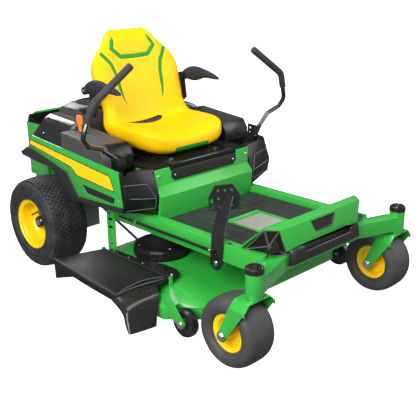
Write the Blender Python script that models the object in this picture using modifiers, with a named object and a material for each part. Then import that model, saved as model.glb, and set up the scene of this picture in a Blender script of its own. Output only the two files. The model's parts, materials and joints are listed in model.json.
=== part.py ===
"""A zero turn mower as the assembly of its pieces, in metres, +X forward, +Y left, +Z up.

The pieces are laid out from the point on the ground midway between the rear wheels.
The root empty then shifts the machine so that the origin lies under the middle of its box.
"""

import math

import bmesh
import bpy
from mathutils import Matrix, Vector

# Fits
GAP = 0.0003
PIVOT_PLAY = 0.0005
SHEET = 0.004
CASTING = 0.006

# Rear wheels
REAR_TYRE_D = 0.460
REAR_TYRE_W = 0.212
REAR_TREAD_W = 0.170
REAR_TRACK = 0.872
REAR_FLANGE_R = 0.126
REAR_BARREL_R = 0.108
REAR_RIM_W = 0.188
REAR_HUB_R = 0.032
REAR_DISC_OUT = 0.022
AXLE_R = 0.016
AXLE_REACH = 0.121
WHEEL_STEPS = 28

# Casters
CASTER_TYRE_D = 0.289
CASTER_TYRE_W = 0.150
CASTER_TREAD_W = 0.090
CASTER_FLANGE_R = 0.0786
CASTER_BARREL_R = 0.0635
CASTER_RIM_W = 0.103
CASTER_HUB_R = 0.021
CASTER_TRACK = 0.950
CASTER_AXLE_X = 1.378
CASTER_TRAIL = 0.086
CASTER_AXLE_R = 0.009
CASTER_STEPS = 20
FORK_SIDE_PLAY = 0.005
FORK_TOP_PLAY = 0.010
FORK_ARM_W = 0.050
FORK_BEND = 0.030
FORK_BOLT_R = 0.014
FORK_BOLT_H = 0.008
STEM_R = 0.0125
POST_R = 0.0345
POST_H = 0.100
CAP_R = 0.0365
CAP_H = 0.023

# Frame
RAIL_BOTTOM = 0.325
RAIL_H = 0.075
RAIL_W = 0.050
RAIL_OUT = 0.350
RAIL_STEP_IN = 0.075
RAIL_STEP_REAR_X = 0.310
RAIL_STEP_FRONT_X = 0.420
BEAM_FRONT_X = 1.418
BEAM_DEPTH = 0.065
BEAM_H = 0.065
BEAM_DROP = 0.015
BEAM_STRAIGHT = 0.240
GUARD_REAR_X = -0.360
GUARD_HALF = 0.300
GUARD_SHOULDER = 0.245
GUARD_BOTTOM = 0.380
GUARD_CORNER_Z = 0.665
GUARD_TOP = 0.715
GUARD_SIDE_FRONT_X = -0.180
HITCH_HALF = 0.060
HITCH_DROP = 0.075
HITCH_HOLE_R = 0.010
HITCH_PROUD = 0.003

# Floor and front cover
FLOOR_TOP = 0.370
FLOOR_T = 0.004
FLOOR_REAR_X = 0.700
MAT_T = 0.005
MAT_RIB_PITCH = 0.060
MAT_RIB_W = 0.046
MAT_RIB_H = 0.002
HATCH_REAR_X = 0.950
HATCH_FRONT_X = 1.165
HATCH_HALF = 0.105
COVER_RAKE = 0.014
COVER_TOP_DEPTH = 0.054
COVER_SLOPE = 0.100
COVER_TOP = 0.495
COVER_FRONT_FOOT = 0.405
COVER_HALF_REAR = 0.300
COVER_HALF_RIDGE = 0.263
COVER_HALF_FOOT = 0.234
CAP_OUT = 0.328
CAP_CORNER = 0.040
CAP_FOOT_IN = 0.032
HANDLE_DEPTH = 0.028
HANDLE_HALF = 0.228
HANDLE_H = 0.072
HANDLE_RISE = 0.022
HANDLE_LIP = 0.010
HANDLE_SLOT_HALF = 0.150
HANDLE_SLOT_DEEP = 0.060
HANDLE_DIP = 0.020

# Seat tower and body panels
TOWER_FRONT_X = 0.712
TOWER_REAR_X = 0.432
TOWER_TOP = 0.5997
TOWER_FLAT_Z = 0.525
TOWER_CREASE_OUT = 0.030
TOWER_CREASE_Z = 0.483
TOWER_FOOT_OUT = 0.017
NAME_HALF = 0.208
NAME_Z = 0.536
NAME_H = 0.054
PANEL_Y = 0.468
PANEL_T = 0.006
PANEL_FRONT_X = 0.664
PANEL_FOOT_X = 0.687
PANEL_TOP_FRONT_Z = 0.619
PANEL_FOOT_Z = 0.461
CORNER_IN_TOP = 0.605
CORNER_BROW_X = 0.700
CORNER_NOSE_X = 0.735
CORNER_NOSE_Z = 0.485
CORNER_FOOT_X = 0.722
CORNER_OUT_TOP = 0.617
CORNER_EDGE_X = 0.666
CORNER_KNUCKLE_X = 0.682
CORNER_KNUCKLE_Y = 0.430
CORNER_BELLY_X = 0.709
CORNER_BELLY_Z = 0.507
CORNER_LOW_Z = 0.444
CORNER_LOW_OUT = 0.008
CORNER_DROP = 0.001
FLARE_OUT = 0.007
FLARE_FRONT = 0.005
FLARE_FRONT_Z = 0.440
HUMP_IN = 0.285
HUMP_FOOT_Z = 0.600
HUMP_REAR_X = -0.024
HUMP_REAR_Z = 0.672
HUMP_FRONT_X = 0.250
HUMP_FRONT_Z = 0.651
HUMP_BEND_Y = 0.405
HUMP_BEND_REAR = (0.000, 0.748)
HUMP_BEND_FRONT = (0.222, 0.732)
HUMP_CREST_Y = 0.360
HUMP_CREST_REAR = (-0.010, 0.767)
HUMP_CREST_FRONT = (0.212, 0.754)
HUMP_INNER_REAR = (-0.050, 0.755)
HUMP_INNER_FRONT = (0.228, 0.745)
CONSOLE_REAR_X = 0.225
CONSOLE_REAR_Z = 0.722
CONSOLE_TOP_X = 0.528
CONSOLE_TOP_Z = 0.694
CONSOLE_RISE = 0.006
CONSOLE_FRONT_X = 0.555
CUP_X = 0.280
CUP_Y = 0.350
CUP_R = 0.040
CUP_DEEP = 0.065
CUP_WALL = 0.003
FUEL_X = 0.060
FUEL_Y = 0.350
FUEL_NECK_R = 0.028
FUEL_CAP_R = 0.036
FUEL_CAP_H = 0.024
FUEL_NECK_TOP = 0.768
THROTTLE_X = 0.276
THROTTLE_Y = 0.385
THROTTLE_PIVOT_Z = 0.690
THROTTLE_TOP = 0.800
THROTTLE_T = 0.006
THROTTLE_SLOT = 0.022
THROTTLE_FOOT = 0.010
THROTTLE_STEM = 0.007
THROTTLE_NECK = 0.045
THROTTLE_HEAD = 0.018
THROTTLE_HEAD_H = 0.022

# Engine and drive
PLATE_T = 0.006
PLATE_FRONT_X = 0.180
ENGINE_REAR_X = -0.250
ENGINE_FRONT_X = 0.030
ENGINE_HALF = 0.160
ENGINE_H = 0.170
SHROUD_OVER = 0.030
SHROUD_H = 0.190
MUFFLER_R = 0.044
MUFFLER_HALF = 0.150
MUFFLER_Z = 0.500
TRANSAXLE_IN = 0.175
TRANSAXLE_HALF_X = 0.085
TRANSAXLE_DROP = 0.070
CRANK_X = -0.120
CRANK_R = 0.0125
ENGINE_PULLEY_R = 0.055

# Levers
LEVER_PIVOT_X = 0.615
LEVER_PIVOT_Z = 0.530
LEVER_SHAFT_R = 0.011
LEVER_Y = 0.420
LEVER_HINGE_RISE = 0.045
LEVER_HINGE_R = 0.011
CLEVIS_LENGTH = 0.060
CLEVIS_W = 0.036
CLEVIS_EAR = 0.006
LEVER_PLATE_T = 0.008
LEVER_TUBE_R = 0.0115
GRIP_R = 0.017
LEVER_PATH = (
    (0.641, 0.428, 0.622),
    (0.643, 0.457, 0.672),
    (0.637, 0.525, 0.726),
    (0.648, 0.600, 0.753),
    (0.657, 0.632, 0.794),
    (0.664, 0.611, 0.855),
)
GRIP_STRAIGHT = 0.076
NOTCH_IN = 0.036
NOTCH_OUT = 0.029
NOTCH_LONG = 0.018
NOTCH_DEEP = 0.016
GRIP_TIP = (0.670, 0.378, 1.064)

# Lift pedal
LIFT_X = 1.145
LIFT_DROP = 0.016
LIFT_SHAFT_R = 0.012
LIFT_ARM = 0.085
LIFT_ARM_IN = 0.080
LIFT_ARM_END_R = 0.010
LIFT_LUG_W = 0.040
PEDAL_T = 0.005
PEDAL_SIDE_PLAY = 0.0035
PEDAL_PLATE_W = 0.064
PEDAL_BEND_Z = 0.440
STRAP_FOOT_REAR = 0.010
STRAP_FOOT_FRONT = 0.016
STRAP_TOP_REAR = 0.002
STRAP_TOP_FRONT = 0.054
PAD_CENTRE = (1.118, -0.278, 0.566)
PAD_HALF = 0.065
PAD_LENGTH = 0.106
PAD_YAW = math.radians(28)
PAD_LEAN = math.radians(12)
PAD_CUT = 0.027
PAD_CUT_DROP = 0.044
PAD_FLANGE = 0.041
PAD_FLANGE_TOP = 0.003
PAD_FLANGE_HOLE_R = 0.011
PAD_HOLE_R = 0.006
PAD_EYE_R = 0.012
STRAP_TOP = (1.098, -0.264, 0.575)
ROD_R = 0.006
ROD_SIDE_PLAY = 0.002
ROD_Z = 0.362
ROD_REAR_X = 0.520
ROD_GUIDE_X = 0.640
ROD_GUIDE_T = 0.012

# Seat
SEAT_PLATE_T = 0.006
SEAT_PLATE_HALF = 0.200
SEAT_PLATE_LENGTH = 0.370
SEAT_HINGE_X = 0.698
SEAT_HINGE_R = 0.0065
RUNNER_Y = 0.130
RUNNER_W = 0.030
RUNNER_H = 0.006
SEAT_BASE_T = 0.006
SEAT_BASE_HALF = 0.170
SEAT_BASE_REAR_X = 0.330
SEAT_BASE_LENGTH = 0.200
SEAT_FRONT_X = 0.640
SEAT_PAN_LENGTH = 0.303
SEAT_PAN_T = 0.098
SEAT_BACK_T = 0.090
SEAT_FOLD_R = 0.085
SEAT_BACK_LENGTH = 0.450
SEAT_RECLINE = math.radians(16.5)
SEAT_HALF = 0.269
SEAT_DISH = 0.040
SEAT_SIDE_LIFT = 0.055
SEAT_FRONT_ROLL = 0.110
SEAT_FRONT_DROP = 0.026
ARM_PIVOT_X = 0.247
ARM_PIVOT_Z = 0.905
ARM_POST_Y = 0.287
ARM_TUBE_R = 0.010
ARM_EAR_R = 0.024
ARM_EAR_T = 0.010
ARM_HUB_R = 0.019
ARM_PAD_LENGTH = 0.257
ARM_PAD_BACK = 0.006
ARM_PAD_W = 0.044
ARM_PAD_H = 0.042
ARM_PAD_RISE = 0.034

# Cutting deck
DECK_FRONT_X = 1.150
DECK_CORNER_CUT = 0.112
DECK_CORNER_X = 1.035
DECK_HALF = 0.552
DECK_LOBE_R = 0.330
DECK_BOTTOM = 0.085
DECK_H = 0.115
DECK_SHOULDER = 0.140
DECK_SHOULDER_H = 0.061
DECK_TOP_FRONT_X = 0.860
DECK_TOP_FRONT_HALF = 0.250
DECK_LIFT = 0.070
LIFT_PLAY = 0.004
SPINDLE_X = 0.690
SPINDLE_R = 0.0125
SPINDLE_PULLEY_R = 0.062
PULLEY_LIP = 0.012
BLADE_ROOM = 0.037
BLADE_PART = 0.005
BLADE_W = 0.060
BLADE_T = 0.005
BLADE_RISE = 0.015
BELT_H = 0.010
BELT_T = 0.009
BELT_RISE = 0.024
BELT_ROOM = 0.004
COVER_R = 0.128
HANGER_X = 0.435
HANGER_W = 0.060
HANGER_T = 0.006
SCALP_X = 1.130
SCALP_INSET = 0.037
SCALP_R = 0.062
SCALP_W = 0.040
SCALP_Z = 0.093
SCALP_AXLE_R = 0.008
SCALP_STRAP_T = 0.006
SCALP_ROOM = 0.008
SCALP_BOLT_R = 0.013
SCALP_BOLT_PROUD = 0.004
SCALP_EYE_R = 0.019
SCALP_EYE_RISE = 0.006
SCALP_STRAP_TAIL = 0.020
SCALP_STRAP_LOW = 0.016
SCALP_STRAP_HIGH = 0.054
SCALP_STRAP_BROW = 0.006
CHUTE_HINGE_INSET = 0.115
CHUTE_HINGE_RISE = 0.005
CHUTE_HINGE_R = 0.006
CHUTE_HINGE_REAR_X = 0.482
CHUTE_HINGE_FRONT_X = 0.948
CHUTE_LUG_T = 0.010
CHUTE_LUG_WALL = 0.002
CHUTE_LUG_PLAY = 0.005
CHUTE_REACH = 0.160
CHUTE_FOOT_Z = 0.070
CHUTE_T = 0.005
CHUTE_MOUTH_DEEP = 0.130
CHUTE_DECK_PLAY = 0.004
MOUTH_BEHIND = 0.160
MOUTH_DEEP = 0.060
MOUTH_PAST = 0.050

# Places that follow from the sizes above
RAIL_TOP = RAIL_BOTTOM + RAIL_H
HITCH_X = GUARD_REAR_X - HITCH_PROUD
RAIL_IN = RAIL_OUT - RAIL_W
BEAM_TOP = RAIL_TOP - BEAM_DROP
COVER_RIDGE_X = BEAM_FRONT_X - COVER_RAKE
COVER_TOP_REAR_X = COVER_RIDGE_X - COVER_TOP_DEPTH
COVER_REAR_X = COVER_TOP_REAR_X - COVER_SLOPE
POST_X = CASTER_AXLE_X + CASTER_TRAIL
POST_Y = CASTER_TRACK / 2
FORK_UNDER = CASTER_TYRE_D + FORK_TOP_PLAY
POST_BOTTOM = FORK_UNDER + CASTING + GAP
POST_TOP = POST_BOTTOM + POST_H
TOWER_HALF = RAIL_IN - GAP
SKIRT_Y = PANEL_Y - PANEL_T - GAP
PLATE_TOP = RAIL_TOP + GAP + PLATE_T
ENGINE_TOP = PLATE_TOP + GAP + ENGINE_H
DECK_TOP = DECK_BOTTOM + DECK_H
DECK_SHOULDER_Z = DECK_TOP - DECK_SHOULDER_H
DECK_FRONT_HALF = DECK_HALF - DECK_CORNER_CUT
BLADE_R = (DECK_HALF - BLADE_ROOM - BLADE_PART) / 2
SPINDLE_Y = BLADE_R + BLADE_PART
SCALP_Y = DECK_HALF - SCALP_INSET
CHUTE_HINGE_Y = DECK_HALF - CHUTE_HINGE_INSET
CHUTE_OUT = DECK_HALF + CHUTE_REACH
COVER_ROOF = RAIL_BOTTOM - DECK_LIFT - LIFT_PLAY
BELT_Z = DECK_TOP + BELT_RISE
LIFT_Z = RAIL_BOTTOM - LIFT_DROP
SEAT_PLATE_Z = TOWER_TOP + GAP + SEAT_HINGE_R - SEAT_PLATE_T / 2
RUNNER_TOP = SEAT_PLATE_Z + SEAT_PLATE_T + RUNNER_H
SEAT_BASE_Z = RUNNER_TOP + GAP
SEAT_UNDER = SEAT_BASE_Z + SEAT_BASE_T + GAP
ARM_IN = ARM_POST_Y + GAP
LEVER_HINGE_Z = LEVER_PIVOT_Z + LEVER_HINGE_RISE
CHUTE_HINGE_Z = DECK_TOP + CHUTE_HINGE_RISE
CHUTE_LUGS = (
    (CHUTE_HINGE_REAR_X - GAP - CHUTE_LUG_T, CHUTE_HINGE_REAR_X - GAP),
    (CHUTE_HINGE_FRONT_X + GAP, CHUTE_HINGE_FRONT_X + GAP + CHUTE_LUG_T),
)
PEDAL_Y = RAIL_OUT + PEDAL_SIDE_PLAY
ROD_Y = PEDAL_Y + PEDAL_T + ROD_SIDE_PLAY + ROD_R

RIGHT, LEFT = -1, 1
SIDES = (("right", RIGHT), ("left", LEFT))

GREEN = ((0.030, 0.330, 0.045), 0.35, 0.0)
YELLOW = ((0.950, 0.620, 0.010), 0.40, 0.0)
VINYL = ((0.950, 0.680, 0.010), 0.50, 0.0)
BLACK = ((0.020, 0.020, 0.021), 0.45, 0.0)
RUBBER = ((0.030, 0.030, 0.031), 0.80, 0.0)
GREY = ((0.060, 0.060, 0.062), 0.60, 0.0)
ORANGE = ((0.900, 0.230, 0.020), 0.45, 0.0)
STEEL = ((0.450, 0.450, 0.460), 0.35, 1.0)
ALLOY = ((0.320, 0.320, 0.330), 0.50, 0.9)


def clear_scene():
    """Starts from an empty scene with one collection for the pieces and one for cutters."""
    for obj in list(bpy.data.objects):
        bpy.data.objects.remove(obj)
    pieces = bpy.data.collections.new("zero_turn_mower")
    tools = bpy.data.collections.new("cutters")
    for group in (pieces, tools):
        bpy.context.scene.collection.children.link(group)
    return pieces, tools


PIECES, TOOLS = clear_scene()
ROOT = bpy.data.objects.new("machine_root", None)
PIECES.objects.link(ROOT)


# Modelling helpers


def helper(mesh):
    """A hidden solid in machine coordinates, ready to be a piece, an addition or a cutter."""
    obj = bpy.data.objects.new("helper", mesh)
    obj.hide_render = True
    obj.display_type = "WIRE"
    obj.parent = ROOT
    TOOLS.objects.link(obj)
    return obj


def solid(bm):
    """A hidden solid from a bmesh, with its faces turned outward."""
    bmesh.ops.recalc_face_normals(bm, faces=bm.faces)
    mesh = bpy.data.meshes.new("solid")
    bm.to_mesh(mesh)
    bm.free()
    return helper(mesh)


def flat_faces(bm):
    """Joins the triangles of each flat face into one."""
    bmesh.ops.dissolve_limit(bm, angle_limit=math.radians(0.05), verts=bm.verts, edges=bm.edges)
    return bm


def block(low, high):
    """A box between two corners given in any order."""
    bm = bmesh.new()
    bmesh.ops.create_cube(bm, size=1)
    low, high = Vector(low), Vector(high)
    size = [abs(h - l) for l, h in zip(low, high)]
    bmesh.ops.transform(bm, matrix=Matrix.Diagonal((*size, 1)), verts=bm.verts)
    bmesh.ops.translate(bm, vec=(low + high) / 2, verts=bm.verts)
    return solid(bm)


def rod(start, end, radius, sides=20):
    """A round bar between two points."""
    start, end = Vector(start), Vector(end)
    along = end - start
    bm = bmesh.new()
    bmesh.ops.create_cone(
        bm, cap_ends=True, segments=sides, radius1=radius, radius2=radius, depth=along.length
    )
    turn = Vector((0, 0, 1)).rotation_difference(along).to_matrix().to_4x4()
    bmesh.ops.transform(bm, matrix=Matrix.Translation((start + end) / 2) @ turn, verts=bm.verts)
    return solid(bm)


def hull(points):
    """The convex faceted solid round some corners."""
    bm = bmesh.new()
    for point in points:
        bm.verts.new(point)
    bmesh.ops.remove_doubles(bm, verts=bm.verts, dist=0.00001)
    found = bmesh.ops.convex_hull(bm, input=bm.verts)
    inside = [v for v in found["geom_interior"] if isinstance(v, bmesh.types.BMVert)]
    bmesh.ops.delete(bm, geom=inside, context="VERTS")
    return solid(flat_faces(bm))


def mesh_of(curve, matrix):
    """A hidden solid from a curve with a bevel or a filled outline."""
    source = bpy.data.objects.new("curve", curve)
    bm = bmesh.new()
    mesh = bpy.data.meshes.new_from_object(source)
    bm.from_mesh(mesh)
    bpy.data.objects.remove(source)
    bpy.data.meshes.remove(mesh)
    bmesh.ops.remove_doubles(bm, verts=bm.verts, dist=0.00001)
    bmesh.ops.transform(bm, matrix=matrix, verts=bm.verts)
    return solid(flat_faces(bm))


# An outline's two axes and the axis that it is thickened along, as columns
PLANES = {
    "Z": Matrix.Identity(4),
    "Y": Matrix(((1, 0, 0, 0), (0, 0, 1, 0), (0, 1, 0, 0), (0, 0, 0, 1))),
    "X": Matrix(((0, 0, 1, 0), (1, 0, 0, 0), (0, 1, 0, 0), (0, 0, 0, 1))),
}


def plate(outline, start, end, along):
    """A flat outline thickened between two places on an axis: (x, y), (x, z) or (y, z) points."""
    curve = bpy.data.curves.new("outline", "CURVE")
    curve.dimensions = "2D"
    curve.fill_mode = "BOTH"
    curve.extrude = abs(end - start) / 2
    spline = curve.splines.new("POLY")
    spline.points.add(len(outline) - 1)
    for point, (u, v) in zip(spline.points, outline):
        point.co = (u, v, 0, 1)
    spline.use_cyclic_u = True
    shift = Matrix.Translation((0, 0, (start + end) / 2))
    return mesh_of(curve, PLANES[along] @ shift)


def pipe(points, radius, resolution=2):
    """A round tube along a path, with closed ends."""
    curve = bpy.data.curves.new("path", "CURVE")
    curve.dimensions = "3D"
    curve.bevel_depth = radius
    curve.bevel_resolution = resolution
    curve.use_fill_caps = True
    spline = curve.splines.new("POLY")
    spline.points.add(len(points) - 1)
    for point, place in zip(spline.points, points):
        point.co = (*place, 1)
    return mesh_of(curve, Matrix.Identity(4))


def lathe(profile, centre, axis, steps, closed):
    """A turned solid: (radius, height) points, down the outer side, spun about an axis."""
    mesh = bpy.data.meshes.new("profile")
    edges = [(i, i + 1) for i in range(len(profile) - 1)]
    if closed:
        edges.append((len(profile) - 1, 0))
    mesh.from_pydata([(r, 0, h) for r, h in profile], edges, [])
    obj = helper(mesh)
    screw = obj.modifiers.new("Turn", "SCREW")
    screw.steps = screw.render_steps = steps
    screw.use_merge_vertices = True
    screw.merge_threshold = 0.00001
    obj.location = centre
    obj.rotation_euler = Vector((0, 0, 1)).rotation_difference(Vector(axis)).to_euler()
    return obj


def arc(centre, radius, start, end, steps):
    """Points on an arc, with the angles in degrees."""
    angles = [math.radians(start + (end - start) * i / steps) for i in range(steps + 1)]
    return [(centre[0] + radius * math.cos(a), centre[1] + radius * math.sin(a)) for a in angles]


def rounded(points, radius, steps=4):
    """A path with each bend replaced by an arc of the given radius, or as large as fits."""
    points = [Vector(p) for p in points]
    path = [points[0]]
    for before, corner, after in zip(points, points[1:], points[2:]):
        back, ahead = (before - corner).normalized(), (after - corner).normalized()
        half = back.angle(ahead) / 2
        room = 0.45 * min((before - corner).length, (after - corner).length)
        reach = min(radius / math.tan(half), room)
        middle = corner + (back + ahead).normalized() * reach / math.cos(half)
        bend = reach * math.tan(half)
        first = (corner + back * reach - middle).normalized()
        last = (corner + ahead * reach - middle).normalized()
        for i in range(steps + 1):
            path.append(middle + first.slerp(last, i / steps) * bend)
    path.append(points[-1])
    return path


def mirrored(points, side):
    """Points given for the left, put on the side asked for."""
    return [(x, side * y, z) for x, y, z in points]


def finish(name, look):
    """A piece's own material."""
    colour, roughness, metallic = look
    material = bpy.data.materials.new(name + "_finish")
    material.use_nodes = True
    surface = material.node_tree.nodes["Principled BSDF"]
    surface.inputs["Base Color"].default_value = (*colour, 1)
    surface.inputs["Roughness"].default_value = roughness
    surface.inputs["Metallic"].default_value = metallic
    return material


def combine(obj, operation, others):
    """Joins solids to an object or cuts them from it."""
    for other in others:
        modifier = obj.modifiers.new(operation.title(), "BOOLEAN")
        modifier.operation = operation
        modifier.solver = "EXACT"
        modifier.object = other


def piece(name, obj, look, pivot=None, add=(), cut=()):
    """Makes a solid into a named piece: joined, then cut, with its origin on its pivot."""
    obj.name = name
    obj.data.name = name
    TOOLS.objects.unlink(obj)
    PIECES.objects.link(obj)
    obj.hide_render = False
    obj.display_type = "TEXTURED"
    combine(obj, "UNION", add)
    combine(obj, "DIFFERENCE", cut)
    if pivot is not None:
        obj.data.transform(Matrix.Translation(-Vector(pivot)))
        obj.location = pivot
    obj.data.materials.append(finish(name, look))
    return obj


# Frame


def beam_rear_x(y):
    """Where the rear face of the front beam is at a distance from the middle."""
    sweep = (POST_X - BEAM_FRONT_X + BEAM_DEPTH / 2) / (POST_Y - BEAM_STRAIGHT)
    return BEAM_FRONT_X - BEAM_DEPTH + max(0, abs(y) - BEAM_STRAIGHT) * sweep


def rail_outline(side):
    """The plan of a frame rail, stepped inward beside the rear wheel."""
    rear = GUARD_REAR_X + SHEET + GAP
    outer = [
        (rear, RAIL_OUT - RAIL_STEP_IN),
        (RAIL_STEP_REAR_X, RAIL_OUT - RAIL_STEP_IN),
        (RAIL_STEP_FRONT_X, RAIL_OUT),
        (beam_rear_x(RAIL_OUT) - GAP, RAIL_OUT),
    ]
    inner = [(x, y - RAIL_W) for x, y in outer[:3]]
    inner.append((beam_rear_x(RAIL_IN) - GAP, RAIL_IN))
    return [(x, side * y) for x, y in outer + inner[::-1]]


def rod_guide():
    """The eye on the right rail that the lift rod slides through, and its bore."""
    half = ROD_R + CASTING
    low = (ROD_GUIDE_X, -(RAIL_OUT - CASTING), ROD_Z - half)
    high = (ROD_GUIDE_X + ROD_GUIDE_T, -(ROD_Y + half), ROD_Z + half)
    start = (ROD_GUIDE_X - CASTING, -ROD_Y, ROD_Z)
    end = (ROD_GUIDE_X + ROD_GUIDE_T + CASTING, -ROD_Y, ROD_Z)
    return block(low, high), rod(start, end, ROD_R + PIVOT_PLAY)


def frame_rails():
    """Two long rails with a lug each that carries the lift shaft."""
    middle = (RAIL_IN + RAIL_OUT) / 2
    for name, side in SIDES:
        rail = plate(rail_outline(side), RAIL_BOTTOM, RAIL_TOP, "Z")
        reach = LIFT_SHAFT_R + CASTING
        low = (LIFT_X - LIFT_LUG_W / 2, side * (middle - CASTING), LIFT_Z - reach)
        high = (LIFT_X + LIFT_LUG_W / 2, side * (middle + CASTING), RAIL_BOTTOM + CASTING)
        bore = rod(
            (LIFT_X, side * (RAIL_IN - CASTING), LIFT_Z),
            (LIFT_X, side * (RAIL_OUT + CASTING), LIFT_Z),
            LIFT_SHAFT_R + PIVOT_PLAY,
        )
        add, cut = [block(low, high)], [bore]
        if side == RIGHT:
            eye, eye_bore = rod_guide()
            add.append(eye)
            cut.append(eye_bore)
        piece(name + "_frame_rail", rail, GREEN, add=add, cut=cut)


def front_beam():
    """The cross beam, swept forward to the two caster posts."""
    reach = POST_Y - POST_R / 2
    front = [(BEAM_FRONT_X, BEAM_STRAIGHT), (beam_rear_x(reach) + BEAM_DEPTH, reach)]
    rear = [(beam_rear_x(reach), reach), (beam_rear_x(0), BEAM_STRAIGHT)]
    half = front + rear
    outline = half + [(x, -y) for x, y in half[::-1]]
    beam = plate(outline, BEAM_TOP - BEAM_H, BEAM_TOP, "Z")
    posts, bores = [], []
    for side in (RIGHT, LEFT):
        foot, head = (POST_X, side * POST_Y, POST_BOTTOM), (POST_X, side * POST_Y, POST_TOP)
        posts.append(rod(foot, head, POST_R, 28))
        low, high = Vector(foot), Vector(head)
        along = Vector((0, 0, CASTING))
        bores.append(rod(low - along, high + along, STEM_R + PIVOT_PLAY))
    piece("front_beam", beam, GREEN, add=posts, cut=bores)


def guard_corner(side):
    """The space above the sloping upper corner of the rear guard."""
    out = GUARD_HALF - GUARD_SHOULDER
    drop = GUARD_TOP - GUARD_CORNER_Z
    outline = [
        (side * (GUARD_SHOULDER - out), GUARD_TOP + drop),
        (side * (GUARD_HALF + out), GUARD_CORNER_Z - drop),
        (side * (GUARD_HALF + out), GUARD_TOP + drop),
    ]
    return plate(outline, GUARD_REAR_X - SHEET, GUARD_SIDE_FRONT_X + SHEET, "X")


def rear_guard():
    """The bent sheet guard behind the engine, with the hitch plate below its middle."""
    outer = [(GUARD_SIDE_FRONT_X, GUARD_HALF), (GUARD_REAR_X, GUARD_HALF)]
    inner = [
        (GUARD_REAR_X + SHEET, GUARD_HALF - SHEET),
        (GUARD_SIDE_FRONT_X, GUARD_HALF - SHEET),
    ]
    outline = outer + [(x, -y) for x, y in outer[::-1] + inner[::-1]] + inner
    sheet = plate(outline, GUARD_BOTTOM, GUARD_TOP, "Z")
    low, high = GUARD_BOTTOM - HITCH_DROP, GUARD_BOTTOM + SHEET
    hitch = block(
        (HITCH_X, -HITCH_HALF, low), (GUARD_REAR_X + SHEET / 2, HITCH_HALF, high)
    )
    hole_z = GUARD_BOTTOM - HITCH_DROP / 2
    hole = rod((HITCH_X - SHEET, 0, hole_z), (HITCH_X + 3 * SHEET, 0, hole_z), HITCH_HOLE_R)
    corners = [guard_corner(side) for side in (RIGHT, LEFT)]
    piece("rear_guard", sheet, GREEN, add=[hitch], cut=corners + [hole])


def floor():
    """The floor pan between the rails, its raised hatch, and the ribbed rubber mat round it."""
    half = RAIL_IN - GAP
    front = beam_rear_x(0) - GAP
    pan = block((FLOOR_REAR_X, -half, FLOOR_TOP - FLOOR_T), (front, half, FLOOR_TOP))
    mat_top = FLOOR_TOP + GAP + MAT_T
    hatch = block(
        (HATCH_REAR_X, -HATCH_HALF, FLOOR_TOP - FLOOR_T / 2),
        (HATCH_FRONT_X, HATCH_HALF, mat_top),
    )
    piece("floor_pan", pan, GREEN, add=[hatch])

    mat_rear = TOWER_FRONT_X + TOWER_CREASE_OUT + 2 * GAP
    mat_front = COVER_REAR_X - GAP
    side_room = 0.004
    mat = block(
        (mat_rear, -half + side_room, FLOOR_TOP + GAP), (mat_front, half - side_room, mat_top)
    )
    ribs = []
    count = int((mat_front - mat_rear) / MAT_RIB_PITCH)
    for i in range(count):
        x = mat_rear + (i + 0.5) * MAT_RIB_PITCH
        ribs.append(
            block(
                (x - MAT_RIB_W / 2, -half + 2 * side_room, mat_top - MAT_T / 2),
                (x + MAT_RIB_W / 2, half - 2 * side_room, mat_top + MAT_RIB_H),
            )
        )
    opening = block(
        (HATCH_REAR_X - GAP, -HATCH_HALF - GAP, FLOOR_TOP - FLOOR_T),
        (HATCH_FRONT_X + GAP, HATCH_HALF + GAP, mat_top + 2 * MAT_RIB_H),
    )
    piece("floor_mat", mat, RUBBER, add=ribs, cut=[opening])


# Front cover, its end caps and the handle


def cover_section(wall, foot):
    """The (x, z) section of the front cover, drawn in by a wall and open below a foot height."""
    return [
        (COVER_REAR_X + 1.4 * wall, foot),
        (COVER_TOP_REAR_X + 0.5 * wall, COVER_TOP - wall),
        (COVER_RIDGE_X - wall, COVER_TOP - wall),
        (BEAM_FRONT_X - wall, COVER_FRONT_FOOT),
        (BEAM_FRONT_X - wall, foot),
    ]


def end_wedge(side, shift):
    """The space beyond the slanting end of the front cover, moved outward by a shift."""
    a = Vector((COVER_TOP_REAR_X, COVER_HALF_REAR, COVER_TOP))
    b = Vector((COVER_RIDGE_X, COVER_HALF_RIDGE, COVER_TOP))
    c = Vector((BEAM_FRONT_X, COVER_HALF_FOOT, COVER_FRONT_FOOT))
    normal = (b - a).cross(c - a).normalized()
    if normal.y < 0:
        normal = -normal
    centre = (a + b + c) / 3 + normal * shift
    turn = Vector((0, 0, 1)).rotation_difference(normal).to_matrix()
    size = COVER_TOP
    corners = [(u, v, w) for u in (-size, size) for v in (-size, size) for w in (0, size)]
    return hull(mirrored([centre + turn @ Vector(p) for p in corners], side))


def cap_points(foot):
    """The faceted cap beyond the left end of the front cover, from well inside it."""
    rear, ridge, front = COVER_TOP_REAR_X + SHEET, COVER_RIDGE_X - SHEET, BEAM_FRONT_X - SHEET
    top, inner = COVER_TOP - SHEET, COVER_HALF_FOOT / 2
    back_foot = COVER_REAR_X + CAP_FOOT_IN
    outer = [
        (back_foot, CAP_OUT, foot),
        (front - CAP_CORNER, CAP_OUT - CAP_CORNER, BEAM_TOP + GAP),
        (front, COVER_HALF_FOOT, BEAM_TOP + GAP),
        (rear, COVER_HALF_REAR, top),
        (ridge, COVER_HALF_RIDGE, top),
    ]
    return outer + [(x, inner, z) for x, _, z in outer]


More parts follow.
